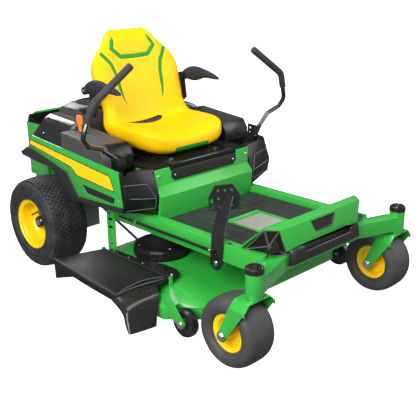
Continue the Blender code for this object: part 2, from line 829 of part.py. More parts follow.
def front_cover():
    """The green cover over the front of the rails, and the black caps on its slanting ends, which
    a bar inside the cover joins."""
    foot = RAIL_TOP + GAP
    shell = plate(cover_section(0, foot), -CAP_OUT, CAP_OUT, "Y")
    hollow = plate(cover_section(SHEET, foot - SHEET), -CAP_OUT, CAP_OUT, "Y")
    ends = [end_wedge(side, 0) for side in (RIGHT, LEFT)]
    piece("front_cover", shell, GREEN, cut=[hollow] + ends)

    caps = []
    for side in (RIGHT, LEFT):
        body = hull(mirrored(cap_points(foot), side))
        combine(body, "INTERSECT", [end_wedge(side, GAP)])
        rail = block(
            (COVER_REAR_X, side * (RAIL_IN - GAP), RAIL_BOTTOM),
            (BEAM_FRONT_X, side * (RAIL_OUT + GAP), foot),
        )
        combine(body, "DIFFERENCE", [rail])
        caps.append(body)
    half = COVER_HALF_REAR
    bar = block(
        (COVER_TOP_REAR_X, -half, foot + SHEET), (COVER_RIDGE_X - SHEET, half, foot + 3 * SHEET)
    )
    piece("bumper_caps", bar, BLACK, add=caps)


def front_handle():
    """The grab handle on the front of the beam: high ends, and a low bar with a finger slot."""
    rear, front = BEAM_FRONT_X + GAP, BEAM_FRONT_X + GAP + HANDLE_DEPTH
    high = BEAM_TOP + HANDLE_RISE
    low = high - HANDLE_H
    corner = HANDLE_DEPTH / 2
    body = hull(
        [(rear, y, z) for y in (-HANDLE_HALF, HANDLE_HALF) for z in (low, high)]
        + [(front, y, low + corner) for y in (corner - HANDLE_HALF, HANDLE_HALF - corner)]
        + [(front, y, high) for y in (2 * corner - HANDLE_HALF, HANDLE_HALF - 2 * corner)]
    )
    slot = block(
        (rear + SHEET, -HANDLE_SLOT_HALF, high - HANDLE_SLOT_DEEP),
        (front - HANDLE_LIP, HANDLE_SLOT_HALF, high + CASTING),
    )
    dip = block(
        (rear + SHEET, -HANDLE_SLOT_HALF, high - HANDLE_DIP),
        (front + CASTING, HANDLE_SLOT_HALF, high + CASTING),
    )
    piece("front_handle", body, BLACK, cut=[slot, dip])


# Seat tower and body panels


def tower_section(wall):
    """The (x, z) section of the seat tower, drawn in by a wall and left open below and behind."""
    foot = FLOOR_TOP + GAP - wall
    return [
        (TOWER_REAR_X - wall, foot),
        (TOWER_FRONT_X + TOWER_FOOT_OUT - wall, foot),
        (TOWER_FRONT_X + TOWER_CREASE_OUT - wall, TOWER_CREASE_Z),
        (TOWER_FRONT_X - wall, TOWER_FLAT_Z),
        (TOWER_FRONT_X - wall, TOWER_TOP - wall),
        (TOWER_REAR_X - wall, TOWER_TOP - wall),
    ]


def seat_tower():
    """The green sheet tower under the seat, with the lever shaft bores, and its name plate."""
    shell = plate(tower_section(0), -TOWER_HALF, TOWER_HALF, "Y")
    hollow = plate(tower_section(SHEET), SHEET - TOWER_HALF, TOWER_HALF - SHEET, "Y")
    reach = TOWER_HALF + CASTING
    bores = rod(
        (LEVER_PIVOT_X, -reach, LEVER_PIVOT_Z),
        (LEVER_PIVOT_X, reach, LEVER_PIVOT_Z),
        LEVER_SHAFT_R + PIVOT_PLAY,
    )
    piece("seat_tower", shell, GREEN, cut=[hollow, bores])

    face = TOWER_FRONT_X + GAP
    corner = NAME_H / 3
    outline = [
        (-NAME_HALF, NAME_Z + NAME_H),
        (-NAME_HALF, NAME_Z + corner),
        (corner - NAME_HALF, NAME_Z),
        (NAME_HALF - corner, NAME_Z),
        (NAME_HALF, NAME_Z + corner),
        (NAME_HALF, NAME_Z + NAME_H),
    ]
    piece("name_plate", plate(outline, face, face + SHEET, "X"), BLACK)


def corner_points(wall):
    """The faceted corner cover in front of a fender, on the left, drawn in by a wall."""
    inner, outer = TOWER_HALF + 2 * GAP + wall, PANEL_Y - 2 * GAP - wall
    foot = RAIL_TOP + GAP - wall
    behind = PANEL_FRONT_X + GAP - wall
    top = CORNER_OUT_TOP - CORNER_DROP - wall
    return [
        (behind, inner, CORNER_IN_TOP - wall),
        (CORNER_BROW_X - wall, inner, CORNER_IN_TOP - wall),
        (CORNER_NOSE_X - wall, inner, CORNER_NOSE_Z),
        (CORNER_FOOT_X - wall, inner, foot),
        (behind, inner, foot),
        (behind, outer, CORNER_OUT_TOP - wall),
        (CORNER_EDGE_X - wall, outer, top),
        (CORNER_KNUCKLE_X - wall, CORNER_KNUCKLE_Y - wall, top),
        (CORNER_BELLY_X - wall, outer, CORNER_BELLY_Z),
        (PANEL_FOOT_X + CORNER_LOW_OUT - wall, outer, CORNER_LOW_Z),
        (PANEL_FOOT_X + 2 * GAP - wall, outer, CORNER_LOW_Z - wall),
    ]


def panel_room(side):
    """The room kept in a corner cover for the front edges of the side panel and the flare."""
    outline = [
        (CONSOLE_FRONT_X, PANEL_TOP_FRONT_Z + SHEET),
        (PANEL_FRONT_X + 2 * GAP, PANEL_TOP_FRONT_Z + SHEET),
        (PANEL_FRONT_X + 2 * GAP, PANEL_TOP_FRONT_Z),
        (PANEL_FOOT_X + 2 * GAP, PANEL_FOOT_Z),
        (PANEL_FOOT_X + FLARE_FRONT + GAP, FLARE_FRONT_Z),
        (PANEL_FOOT_X + FLARE_FRONT + GAP, FLARE_FRONT_Z - 2 * SHEET),
        (CONSOLE_FRONT_X, FLARE_FRONT_Z - 2 * SHEET),
    ]
    return plate(outline, side * (SKIRT_Y - PANEL_T - GAP), side * (PANEL_Y + SHEET), "Y")


def lever_notch(side):
    """The notch in the top of a corner cover that its lever leans into."""
    low = (PANEL_FRONT_X - SHEET, side * (LEVER_Y - NOTCH_IN), CORNER_OUT_TOP - NOTCH_DEEP)
    high = (PANEL_FRONT_X + NOTCH_LONG, side * (LEVER_Y + NOTCH_OUT), CORNER_OUT_TOP + SHEET)
    return block(low, high)


def corner_covers():
    """The black faceted covers at the front corners of the body."""
    for name, side in SIDES:
        shell = hull(mirrored(corner_points(0), side))
        hollow = hull(mirrored(corner_points(SHEET), side))
        cut = [hollow, panel_room(side), lever_notch(side)]
        piece(name + "_corner_cover", shell, BLACK, cut=cut)


# The green side panel, on the left: (x, z) from the top rear corner, round by the front
PANEL_OUTLINE = (
    (-0.024, 0.674),
    (PANEL_FRONT_X, PANEL_TOP_FRONT_Z),
    (PANEL_FOOT_X, PANEL_FOOT_Z),
    (0.350, 0.439),
    (0.264, 0.540),
    (-0.072, 0.610),
)

# The black flare below it, from its rear tip, along the arch, and back below the panel
FLARE_OUTLINE = (
    (-0.137, 0.573),
    (-0.120, 0.558),
    (0.144, 0.539),
    (0.274, 0.424),
    (0.360, 0.420),
    (PANEL_FOOT_X + FLARE_FRONT, FLARE_FRONT_Z),
    (PANEL_FOOT_X, PANEL_FOOT_Z - GAP),
    (0.350, 0.439 - GAP),
    (0.264, 0.540 - GAP),
    (-0.072, 0.610 - GAP),
)


def hump_points(wall):
    """The rear of a fender, on the left, drawn in by a wall and open below: its outer edge, the
    bend above it, the crest and the inner edge, each from the rear to the front."""
    foot = HUMP_FOOT_Z - 4 * wall
    outer, inner = SKIRT_Y - wall, HUMP_IN + wall
    rows = (
        (outer, (HUMP_REAR_X, HUMP_REAR_Z), (HUMP_FRONT_X, HUMP_FRONT_Z)),
        (HUMP_BEND_Y - wall, HUMP_BEND_REAR, HUMP_BEND_FRONT),
        (HUMP_CREST_Y, HUMP_CREST_REAR, HUMP_CREST_FRONT),
        (inner, HUMP_INNER_REAR, HUMP_INNER_FRONT),
    )
    points = [(x + wall, y, z - wall) for y, (x, z), _ in rows]
    points += [(x - wall, y, z - wall) for y, _, (x, z) in rows]
    points += [(HUMP_REAR_X + wall, y, foot) for y in (outer, inner)]
    return points + [(HUMP_FRONT_X - wall, y, foot) for y in (outer, inner)]


def console_points(wall):
    """The long box beside the seat in front of the hump, on the left, drawn in by a wall."""
    outer, inner = SKIRT_Y - wall, TOWER_HALF + 2 * GAP + wall
    rear, top, front = CONSOLE_REAR_X + wall, CONSOLE_TOP_X - wall, CONSOLE_FRONT_X - wall
    foot = HUMP_FOOT_Z - 4 * wall
    points = []
    for y, rise in ((outer, -wall), (inner, CONSOLE_RISE - wall)):
        points += [(rear, y, foot), (rear, y, CONSOLE_REAR_Z + rise)]
        points += [(top, y, CONSOLE_TOP_Z + rise), (front, y, HUMP_FRONT_Z), (front, y, foot)]
    return points


def cup_well():
    """The cup holder in the left fender: its wall, and the room for the cup."""
    rim = CONSOLE_REAR_Z + CONSOLE_RISE
    floor_z = rim - CUP_DEEP
    outside = rod((CUP_X, CUP_Y, floor_z - CUP_WALL), (CUP_X, CUP_Y, rim), CUP_R + CUP_WALL)
    inside = rod((CUP_X, CUP_Y, floor_z), (CUP_X, CUP_Y, rim + 2 * CUP_R), CUP_R)
    return outside, inside


def throttle_slot():
    """The slot in the right fender that the throttle lever comes up through."""
    half_y = THROTTLE_T / 2 + PIVOT_PLAY
    return block(
        (THROTTLE_X - THROTTLE_SLOT, -THROTTLE_Y - half_y, THROTTLE_PIVOT_Z - THROTTLE_FOOT - PIVOT_PLAY),
        (THROTTLE_X + THROTTLE_SLOT, -THROTTLE_Y + half_y, THROTTLE_TOP),
    )


def fenders():
    """The black fenders, each with its flare, hump and console, and the green side panels."""
    for name, side in SIDES:
        y_skirt = (side * (SKIRT_Y - PANEL_T), side * SKIRT_Y)
        y_flare = (side * (SKIRT_Y - PANEL_T), side * (PANEL_Y + FLARE_OUT))
        top, foot = PANEL_OUTLINE[:2], PANEL_OUTLINE[2:]
        backing = [*top, *((x, z - SHEET) for x, z in foot)]
        skirt = plate(backing, *y_skirt, "Y")
        flare = plate(FLARE_OUTLINE, *y_flare, "Y")
        hump = hull(mirrored(hump_points(0), side))
        console = hull(mirrored(console_points(0), side))
        hollows = [hull(mirrored(points(SHEET), side)) for points in (hump_points, console_points)]
        combine(hump, "UNION", [console])
        combine(hump, "DIFFERENCE", hollows)
        add, cut = [flare, hump], []
        if side == LEFT:
            outside, inside = cup_well()
            neck = rod(
                (FUEL_X, FUEL_Y, FUEL_NECK_TOP - 0.035),
                (FUEL_X, FUEL_Y, FUEL_NECK_TOP),
                FUEL_NECK_R,
            )
            add += [outside, neck]
            cut.append(inside)
        else:
            cut.append(throttle_slot())
        piece(name + "_fender", skirt, BLACK, add=add, cut=cut)
        panel = plate(PANEL_OUTLINE, side * (PANEL_Y - PANEL_T), side * PANEL_Y, "Y")
        piece(name + "_side_panel", panel, GREEN)


def controls():
    """The throttle lever in the right fender and the fuel cap on the left one."""
    x, low, high = THROTTLE_X, THROTTLE_PIVOT_Z, THROTTLE_TOP
    outline = [
        (x - THROTTLE_STEM, low - THROTTLE_FOOT),
        (x + THROTTLE_STEM, low - THROTTLE_FOOT),
        (x + THROTTLE_STEM, low + THROTTLE_NECK),
        (x + THROTTLE_HEAD, high - THROTTLE_HEAD_H),
        (x + THROTTLE_HEAD * 2 / 3, high),
        (x - THROTTLE_HEAD * 2 / 3, high),
        (x - THROTTLE_HEAD, high - THROTTLE_HEAD_H),
        (x - THROTTLE_STEM, low + THROTTLE_NECK),
    ]
    ends = (-THROTTLE_Y - THROTTLE_T / 2, -THROTTLE_Y + THROTTLE_T / 2)
    lever = plate(outline, *ends, "Y")
    piece("throttle_lever", lever, ORANGE, pivot=(x, -THROTTLE_Y, low))

    foot = FUEL_NECK_TOP + GAP
    cap = rod((FUEL_X, FUEL_Y, foot), (FUEL_X, FUEL_Y, foot + FUEL_CAP_H), FUEL_CAP_R, 20)
    piece("fuel_cap", cap, BLACK, pivot=(FUEL_X, FUEL_Y, foot))


# Engine and drive


def engine():
    """The engine plate on the rails, the engine with its shroud and muffler."""
    deck = RAIL_TOP + GAP
    half = RAIL_OUT - RAIL_STEP_IN
    rear = GUARD_REAR_X + SHEET + GAP
    piece("engine_plate", block((rear, -half, deck), (PLATE_FRONT_X, half, PLATE_TOP)), GREEN)

    foot = PLATE_TOP + GAP
    low = (ENGINE_REAR_X, -ENGINE_HALF, foot)
    high = (ENGINE_FRONT_X, ENGINE_HALF, ENGINE_TOP)
    crankcase = block(low, high)
    heads = [
        hull(
            [
                (x, side * y, z)
                for x, y, z in (
                    (ENGINE_REAR_X + 0.060, ENGINE_HALF - 0.020, foot + 0.040),
                    (ENGINE_FRONT_X - 0.040, ENGINE_HALF - 0.020, foot + 0.040),
                    (ENGINE_REAR_X + 0.060, ENGINE_HALF - 0.020, ENGINE_TOP - 0.030),
                    (ENGINE_FRONT_X - 0.040, ENGINE_HALF - 0.020, ENGINE_TOP - 0.030),
                    (ENGINE_REAR_X + 0.080, ENGINE_HALF + 0.045, foot + 0.055),
                    (ENGINE_FRONT_X - 0.060, ENGINE_HALF + 0.045, foot + 0.055),
                    (ENGINE_REAR_X + 0.080, ENGINE_HALF + 0.045, ENGINE_TOP - 0.045),
                    (ENGINE_FRONT_X - 0.060, ENGINE_HALF + 0.045, ENGINE_TOP - 0.045),
                )
            ]
        )
        for side in (RIGHT, LEFT)
    ]
    piece("engine_block", crankcase, ALLOY, add=heads)

    foot = ENGINE_TOP + GAP
    reach = (ENGINE_FRONT_X - ENGINE_REAR_X) / 2 + SHROUD_OVER
    middle = ((ENGINE_FRONT_X + ENGINE_REAR_X) / 2, 0)
    half = ENGINE_HALF + SHROUD_OVER
    levels = ((0, 1.0), (0.62 * SHROUD_H, 0.97), (0.90 * SHROUD_H, 0.84), (SHROUD_H, 0.66))
    corners = [
        (middle[0] + u * reach * k * a, v * half * k * b, foot + z)
        for z, k in levels
        for u in (-1, 1)
        for v in (-1, 1)
        for a, b in ((1.0, 0.7), (0.8, 1.0))
    ]
    piece("engine_shroud", hull(corners), GREY)

    x = ENGINE_REAR_X - MUFFLER_R - GAP
    muffler = rod((x, -MUFFLER_HALF, MUFFLER_Z), (x, MUFFLER_HALF, MUFFLER_Z), MUFFLER_R, 20)
    piece("muffler", muffler, STEEL)


def transaxles():
    """The two wheel drives hung under the rear of the rails."""
    axle_z = REAR_TYRE_D / 2
    outer = REAR_TRACK / 2 - AXLE_REACH - GAP
    for name, side in SIDES:
        low = (-TRANSAXLE_HALF_X, side * TRANSAXLE_IN, axle_z - TRANSAXLE_DROP)
        high = (TRANSAXLE_HALF_X, side * outer, RAIL_BOTTOM - GAP)
        piece(name + "_transaxle", block(low, high), ALLOY)


def pulley_profile(radius, top, bottom, shaft, belt_z):
    """A shaft with one belt groove, from its top down the outer side to its bottom."""
    lip = radius + PULLEY_LIP
    half = BELT_H / 2 + GAP
    return [
        (0, top),
        (shaft, top),
        (shaft, belt_z + half + SHEET),
        (lip, belt_z + half + SHEET),
        (lip, belt_z + half),
        (radius, belt_z + half),
        (radius, belt_z - half),
        (lip, belt_z - half),
        (lip, belt_z - half - SHEET),
        (shaft, belt_z - half - SHEET),
        (shaft, bottom),
        (0, bottom),
    ]


def engine_pulley():
    """The crank pulley under the engine plate that drives the deck belt."""
    top = RAIL_TOP
    bottom = BELT_Z - BELT_H - 2 * SHEET
    profile = pulley_profile(ENGINE_PULLEY_R, top, bottom, CRANK_R, BELT_Z)
    piece("engine_pulley", lathe(profile, (CRANK_X, 0, 0), (0, 0, 1), 18, False), STEEL)


# Wheels


def both_ways(half):
    """A wheel profile from its outer half, mirrored to the inner half."""
    return list(half) + [(r, -h) for r, h in reversed(half)]


def rear_wheels():
    """The drive tyres and the dished rims with their hubs and axle stubs."""
    radius, half = REAR_TYRE_D / 2, REAR_TYRE_W / 2
    tread, rim_half = REAR_TREAD_W / 2, REAR_RIM_W / 2
    bead = rim_half - 0.008
    tyre = both_ways(
        [
            (REAR_BARREL_R + GAP, bead - 0.004 - GAP),
            (REAR_FLANGE_R + GAP, bead - GAP),
            (REAR_FLANGE_R + 0.010, rim_half + 0.002),
            ((REAR_FLANGE_R + radius) / 2, half),
            (radius - 0.022, half - 0.008),
            (radius - 0.005, tread),
            (radius, tread * 0.4),
        ]
    )
    disc_out, disc_in = REAR_DISC_OUT, REAR_DISC_OUT - SHEET
    throat = REAR_BARREL_R - SHEET
    rim = [
        (0, disc_out + 0.018),
        (REAR_HUB_R, disc_out + 0.018),
        (REAR_HUB_R, disc_out),
        (throat - 0.006, disc_out),
        (throat, rim_half - 0.010),
        (throat + 0.006, rim_half),
        (REAR_FLANGE_R, rim_half),
        (REAR_FLANGE_R, bead),
        (REAR_BARREL_R, bead - 0.004),
        (REAR_BARREL_R, 0.004 - bead),
        (REAR_FLANGE_R, -bead),
        (REAR_FLANGE_R, -rim_half),
        (throat + 0.006, -rim_half),
        (throat, 0.010 - rim_half),
        (throat - 0.006, disc_in),
        (REAR_HUB_R, disc_in),
        (REAR_HUB_R, -rim_half),
        (AXLE_R, -rim_half),
        (AXLE_R, -AXLE_REACH),
        (0, -AXLE_REACH),
    ]
    for name, side in SIDES:
        centre = (0, side * REAR_TRACK / 2, radius)
        outward = (0, side, 0)
        rubber = lathe(tyre, centre, outward, WHEEL_STEPS, True)
        piece(name + "_rear_tyre", rubber, RUBBER)
        piece(name + "_rear_rim", lathe(rim, centre, outward, WHEEL_STEPS, False), YELLOW)


def caster_wheels():
    """The smooth front tyres on their small rims, each with a bore for the axle bolt."""
    radius, half = CASTER_TYRE_D / 2, CASTER_TYRE_W / 2
    rim_half = CASTER_RIM_W / 2
    hub_half = half + FORK_SIDE_PLAY - GAP
    bead = rim_half - 0.004
    tyre = both_ways(
        [
            (CASTER_BARREL_R + GAP, bead - 0.005 - GAP),
            (CASTER_FLANGE_R + GAP, bead - GAP),
            (CASTER_FLANGE_R + 0.003, rim_half + 0.004),
            (CASTER_FLANGE_R + 0.022, half - 0.001),
            (radius - 0.020, half),
            (radius - 0.005, half - 0.018),
            (radius, CASTER_TREAD_W / 4),
        ]
    )
    throat = CASTER_BARREL_R - SHEET
    rim = both_ways(
        [
            (CASTER_AXLE_R + PIVOT_PLAY, hub_half),
            (CASTER_HUB_R, hub_half),
            (CASTER_HUB_R, SHEET),
            (throat - 0.005, SHEET),
            (throat, rim_half - 0.006),
            (throat + 0.006, rim_half),
            (CASTER_FLANGE_R, rim_half),
            (CASTER_FLANGE_R, bead),
            (CASTER_BARREL_R, bead - 0.005),
        ]
    )
    for name, side in SIDES:
        centre = (CASTER_AXLE_X, side * POST_Y, radius)
        rubber = lathe(tyre, centre, (0, side, 0), CASTER_STEPS, True)
        piece(name + "_caster_tyre", rubber, RUBBER)
        metal = lathe(rim, centre, (0, side, 0), CASTER_STEPS, True)
        piece(name + "_caster_rim", metal, YELLOW)


def caster_fork(side):
    """A fork plate on its stem, two slanting arms and the axle bolt, as one welded piece."""
    axle_z = CASTER_TYRE_D / 2
    y_mid = side * POST_Y
    inside = CASTER_TYRE_W / 2 + FORK_SIDE_PLAY
    outside = inside + CASTING
    top, under = FORK_UNDER + CASTING, FORK_UNDER
    front, rear = POST_X + 0.85 * POST_R, POST_X - 1.4 * POST_R
    bend, foot = top - FORK_BEND, top - 1.5 * FORK_BEND
    outer = [(outside, foot), (outside, bend), (outside - FORK_BEND, top)]
    inner = [(inside, foot), (inside, bend), (inside + CASTING - FORK_BEND, under)]
    half_section = inner[::-1] + outer
    section = half_section + [(-y, z) for y, z in half_section[::-1]]
    crown = plate([(y_mid + y, z) for y, z in section], rear, front, "X")
    half = FORK_ARM_W / 2
    arm = [(rear, bend), (front, bend), (CASTER_AXLE_X + half, axle_z)]
    arm += arc((CASTER_AXLE_X, axle_z), half, 0, -180, 8)[1:-1]
    arm += [(CASTER_AXLE_X - half, axle_z)]
    add = [
        plate(arm, y_mid + sign * inside, y_mid + sign * outside, "Y") for sign in (-1, 1)
    ]
    stem_top = POST_TOP - CASTING
    add.append(rod((POST_X, y_mid, under), (POST_X, y_mid, stem_top), STEM_R))
    reach = outside + FORK_BOLT_H
    axle = [(CASTER_AXLE_X, y_mid + sign * outside, axle_z) for sign in (-1, 1)]
    heads = [(CASTER_AXLE_X, y_mid + sign * reach, axle_z) for sign in (-1, 1)]
    add.append(rod(*axle, CASTER_AXLE_R))
    for sign, start, end in zip((-1, 1), axle, heads):
        sunk = (start[0], start[1] - sign * CASTING / 2, start[2])
        add.append(rod(sunk, end, FORK_BOLT_R, 6))
    return crown, add


def casters():
    """The swivelling forks and the caps on top of their posts."""
    for name, side in SIDES:
        crown, add = caster_fork(side)
        pivot = (POST_X, side * POST_Y, POST_BOTTOM)
        piece(name + "_caster_fork", crown, GREEN, pivot=pivot, add=add)
        low = POST_TOP + GAP
        profile = [
            (0, CAP_H),
            (CAP_R - 0.010, CAP_H),
            (CAP_R - 0.003, CAP_H - 0.004),
            (CAP_R, CAP_H - 0.009),
            (CAP_R, 0),
            (0, 0),
        ]
        cap = lathe(profile, (POST_X, side * POST_Y, low), (0, 0, 1), 28, False)
        piece(name + "_caster_cap", cap, BLACK)


# Levers


def lever_bracket(side):
    """The cross shaft in the tower and the clevis on its end, and what is cut from them."""
    x, z = LEVER_PIVOT_X, LEVER_PIVOT_Z
    inner = TOWER_HALF - 2 * CASTING
    half = CLEVIS_LENGTH / 2
    near, far = LEVER_Y - CLEVIS_W / 2, LEVER_Y + CLEVIS_W / 2
    clevis = block(
        (x - half, side * near, z - LEVER_SHAFT_R),
        (x + half, side * far, LEVER_HINGE_Z + LEVER_HINGE_R),
    )
    shaft = rod((x, side * inner, z), (x, side * (near + CASTING), z), LEVER_SHAFT_R)
    room = block(
        (x - half + CLEVIS_EAR, side * (near - CASTING), LEVER_HINGE_Z - LEVER_HINGE_R - CASTING),
        (x + half - CLEVIS_EAR, side * (far + CASTING), LEVER_HINGE_Z + 2 * LEVER_HINGE_R),
    )
    return clevis, shaft, room


def lever(side):
    """The hinge barrel, the slotted plate above it and the bent tube, as one welded piece."""
    half = CLEVIS_LENGTH / 2 - CLEVIS_EAR - GAP
    x, y = LEVER_PIVOT_X, side * LEVER_Y
    barrel = rod((x - half, y, LEVER_HINGE_Z), (x + half, y, LEVER_HINGE_Z), LEVER_HINGE_R)
    outline = [
        (x - 0.018, LEVER_HINGE_Z),
        (x + 0.018, LEVER_HINGE_Z),
        (x + 0.046, LEVER_HINGE_Z + 0.105),
        (x - 0.014, LEVER_HINGE_Z + 0.109),
    ]
    ends = (y - LEVER_PLATE_T / 2, y + LEVER_PLATE_T / 2)
    slotted = plate(outline, *ends, "Y")
    tube = pipe(rounded(mirrored(LEVER_PATH, side), 0.035), LEVER_TUBE_R)
    holes = [
        rod((x + dx, y - 2 * LEVER_PLATE_T, z), (x + dx, y + 2 * LEVER_PLATE_T, z), 0.007, 12)
        for dx, z in ((0.000, LEVER_HINGE_Z + 0.090), (-0.003, LEVER_HINGE_Z + 0.064))
    ]
    return barrel, [slotted, tube], holes


def grip_path():
    """The grip's path on the left, straight on from the end of the lever tube and then inward."""
    before, end = Vector(LEVER_PATH[-2]), Vector(LEVER_PATH[-1])
    ahead = (end - before).normalized()
    return end + ahead * GAP, end + ahead * GRIP_STRAIGHT, GRIP_TIP


def levers():
    """The drive levers: each swings fore and aft on its shaft and in and out on its clevis."""
    for name, side in SIDES:
        clevis, shaft, room = lever_bracket(side)
        shaft_pivot = (LEVER_PIVOT_X, side * LEVER_Y, LEVER_PIVOT_Z)
        piece(
            name + "_lever_bracket", clevis, BLACK, pivot=shaft_pivot, add=[shaft], cut=[room]
        )
        barrel, add, cut = lever(side)
        pivot = (LEVER_PIVOT_X, side * LEVER_Y, LEVER_HINGE_Z)
        piece(name + "_lever", barrel, BLACK, pivot=pivot, add=add, cut=cut)
        grip = pipe(rounded(mirrored(grip_path(), side), 0.060, 5), GRIP_R)
        piece(name + "_lever_grip", grip, GREY, pivot=pivot)


# Deck lift


def pedal_pad():
    """The foot pad, turned out and leaning back, with its grip holes and its side flange."""
    across = Vector((math.sin(PAD_YAW), math.cos(PAD_YAW), 0))
    ahead = Vector((math.cos(PAD_YAW), -math.sin(PAD_YAW), 0))
    along = Vector((0, 0, math.cos(PAD_LEAN))) - ahead * math.sin(PAD_LEAN)
    normal = across.cross(along)
    back = Vector((-1, 0, 0))
    back = (back - along * back.dot(along)).normalized()
    aside = along.cross(back)
    centre, half = Vector(PAD_CENTRE), PAD_LENGTH / 2

    def spot(u, v, w=0):
        return centre + across * u + along * v + normal * w

    ring = [
        (-PAD_HALF, half - PAD_CUT_DROP),
        (PAD_CUT - PAD_HALF, half),
        (PAD_HALF - PAD_CUT, half),
        (PAD_HALF, half - PAD_CUT_DROP),
        (PAD_HALF, -half),
        (-PAD_HALF, -half),
    ]
    pad = hull([spot(u, v, w) for u, v in ring for w in (-PEDAL_T / 2, PEDAL_T / 2)])
    bend = PAD_CUT - PAD_HALF
    relief = hull(
        [spot(u, v, w) for u in (-2 * PAD_HALF, bend) for v in (-2 * half, PAD_FLANGE_TOP) for w in (-half, half)]
    )
    combine(pad, "DIFFERENCE", [relief])
    holes = []
    for u in (-0.40, 0.05, 0.50):
        for v in (-0.62, -0.05, 0.56):
            radius = PAD_EYE_R if (u, v) == (0.05, -0.05) else PAD_HOLE_R
            middle = (u * PAD_HALF, v * half)
            holes.append(rod(spot(*middle, -half), spot(*middle, half), radius, 6))
    edge = spot(bend, 0)
    flange = hull(
        [
            edge - aside * t + along * v + back * w
            for t in (0, PEDAL_T)
            for v in (-half, PAD_FLANGE_TOP - PEDAL_T / 4)
            for w in (-PEDAL_T / 2, PAD_FLANGE)
        ]
    )
    for v in (-0.74, -0.24):
        middle = edge + along * v * half + back * PAD_FLANGE * 0.6
        holes.append(rod(middle - aside * 3 * PEDAL_T, middle + aside * 3 * PEDAL_T, PAD_FLANGE_HOLE_R, 8))
    combine(pad, "UNION", [flange])
    return pad, holes


def lift_pedal():
    """The lift shaft, its two short lift arms, the side plate, the bent strap and the pad."""
    end = PEDAL_Y + PEDAL_T
    shaft = rod((LIFT_X, -end, LIFT_Z), (LIFT_X, RAIL_OUT, LIFT_Z), LIFT_SHAFT_R)
    half = PEDAL_PLATE_W / 2
    outline = arc((LIFT_X, LIFT_Z), half, -180, 0, 8)
    x_low = (LIFT_X - half + STRAP_FOOT_REAR, LIFT_X + half + STRAP_FOOT_FRONT)
    outline += [(x_low[1], PEDAL_BEND_Z), (x_low[0], PEDAL_BEND_Z)]
    side_plate = plate(outline, -PEDAL_Y, -end, "Y")
    x_high = (STRAP_TOP[0] - STRAP_TOP_REAR, STRAP_TOP[0] + STRAP_TOP_FRONT)
    strap = hull(
        [(x, -y, PEDAL_BEND_Z - PEDAL_T) for x in x_low for y in (PEDAL_Y, end)]
        + [
            (x, STRAP_TOP[1] + y, STRAP_TOP[2])
            for x in x_high
            for y in (0, PEDAL_T)
        ]
    )
    pad, holes = pedal_pad()
    arms = []
    for side in (RIGHT, LEFT):
        y = side * (RAIL_IN - LIFT_ARM_IN)
        bar = arc((LIFT_X, LIFT_Z), LIFT_SHAFT_R + CASTING, -90, 90, 6)
        bar += arc((LIFT_X - LIFT_ARM, LIFT_Z), LIFT_ARM_END_R, 90, 270, 6)
        arms.append(plate(bar, y - CASTING / 2, y + CASTING / 2, "Y"))
    combine(pad, "DIFFERENCE", holes)
    pivot = (LIFT_X, 0, LIFT_Z)
    piece("lift_pedal", shaft, BLACK, pivot=pivot, add=[side_plate, strap, pad] + arms)


def lift_rod():
    """The rod beside the right rail that takes the pedal's push to the rear of the deck lift."""
    front = LIFT_X - PEDAL_PLATE_W / 2 + 0.020
    bar = rod((ROD_REAR_X, -ROD_Y, ROD_Z), (front, -ROD_Y, ROD_Z), ROD_R, 12)
    inner = ROD_Y - ROD_R - ROD_SIDE_PLAY + GAP
    eye = rod((front, -inner, ROD_Z), (front, -ROD_Y - ROD_R, ROD_Z), 2 * ROD_R, 16)
    piece("lift_rod", bar, STEEL, pivot=(ROD_GUIDE_X, -ROD_Y, ROD_Z), add=[eye])


# Seat


def seat_spine(t):
    """Point, direction and thickness share of the seat's middle surface, front 0 to top 1."""
    bend = math.pi / 2 - SEAT_RECLINE
    lengths = (SEAT_PAN_LENGTH, SEAT_FOLD_R * bend, SEAT_BACK_LENGTH)
    s = t * sum(lengths)
    z0 = SEAT_UNDER + SEAT_PAN_T / 2
    on_pan = min(s, lengths[0])
    turn = min(max(s - lengths[0], 0) / SEAT_FOLD_R, bend)
    on_back = max(s - lengths[0] - lengths[1], 0)
    angle = math.pi - turn
    x = SEAT_FRONT_X - on_pan - SEAT_FOLD_R * math.sin(turn) + on_back * math.cos(angle)
    z = z0 + SEAT_FOLD_R * (1 - math.cos(turn)) + on_back * math.sin(angle)
    return Vector((x, 0, z)), angle, turn / bend, on_back / SEAT_BACK_LENGTH


def seat_half_width(front, on_back):
    """Half the width of the seat: rounded at the front, widest at the shoulders, narrow on top."""
    round_front = 1 - 0.24 * front**2
    waist = 1 - 0.05 * math.sin(math.pi * min(on_back / 0.5, 1))
    top = 1 - 0.56 * max(0, 1.9 * on_back - 0.9) ** 1.4
    return SEAT_HALF * round_front * waist * top


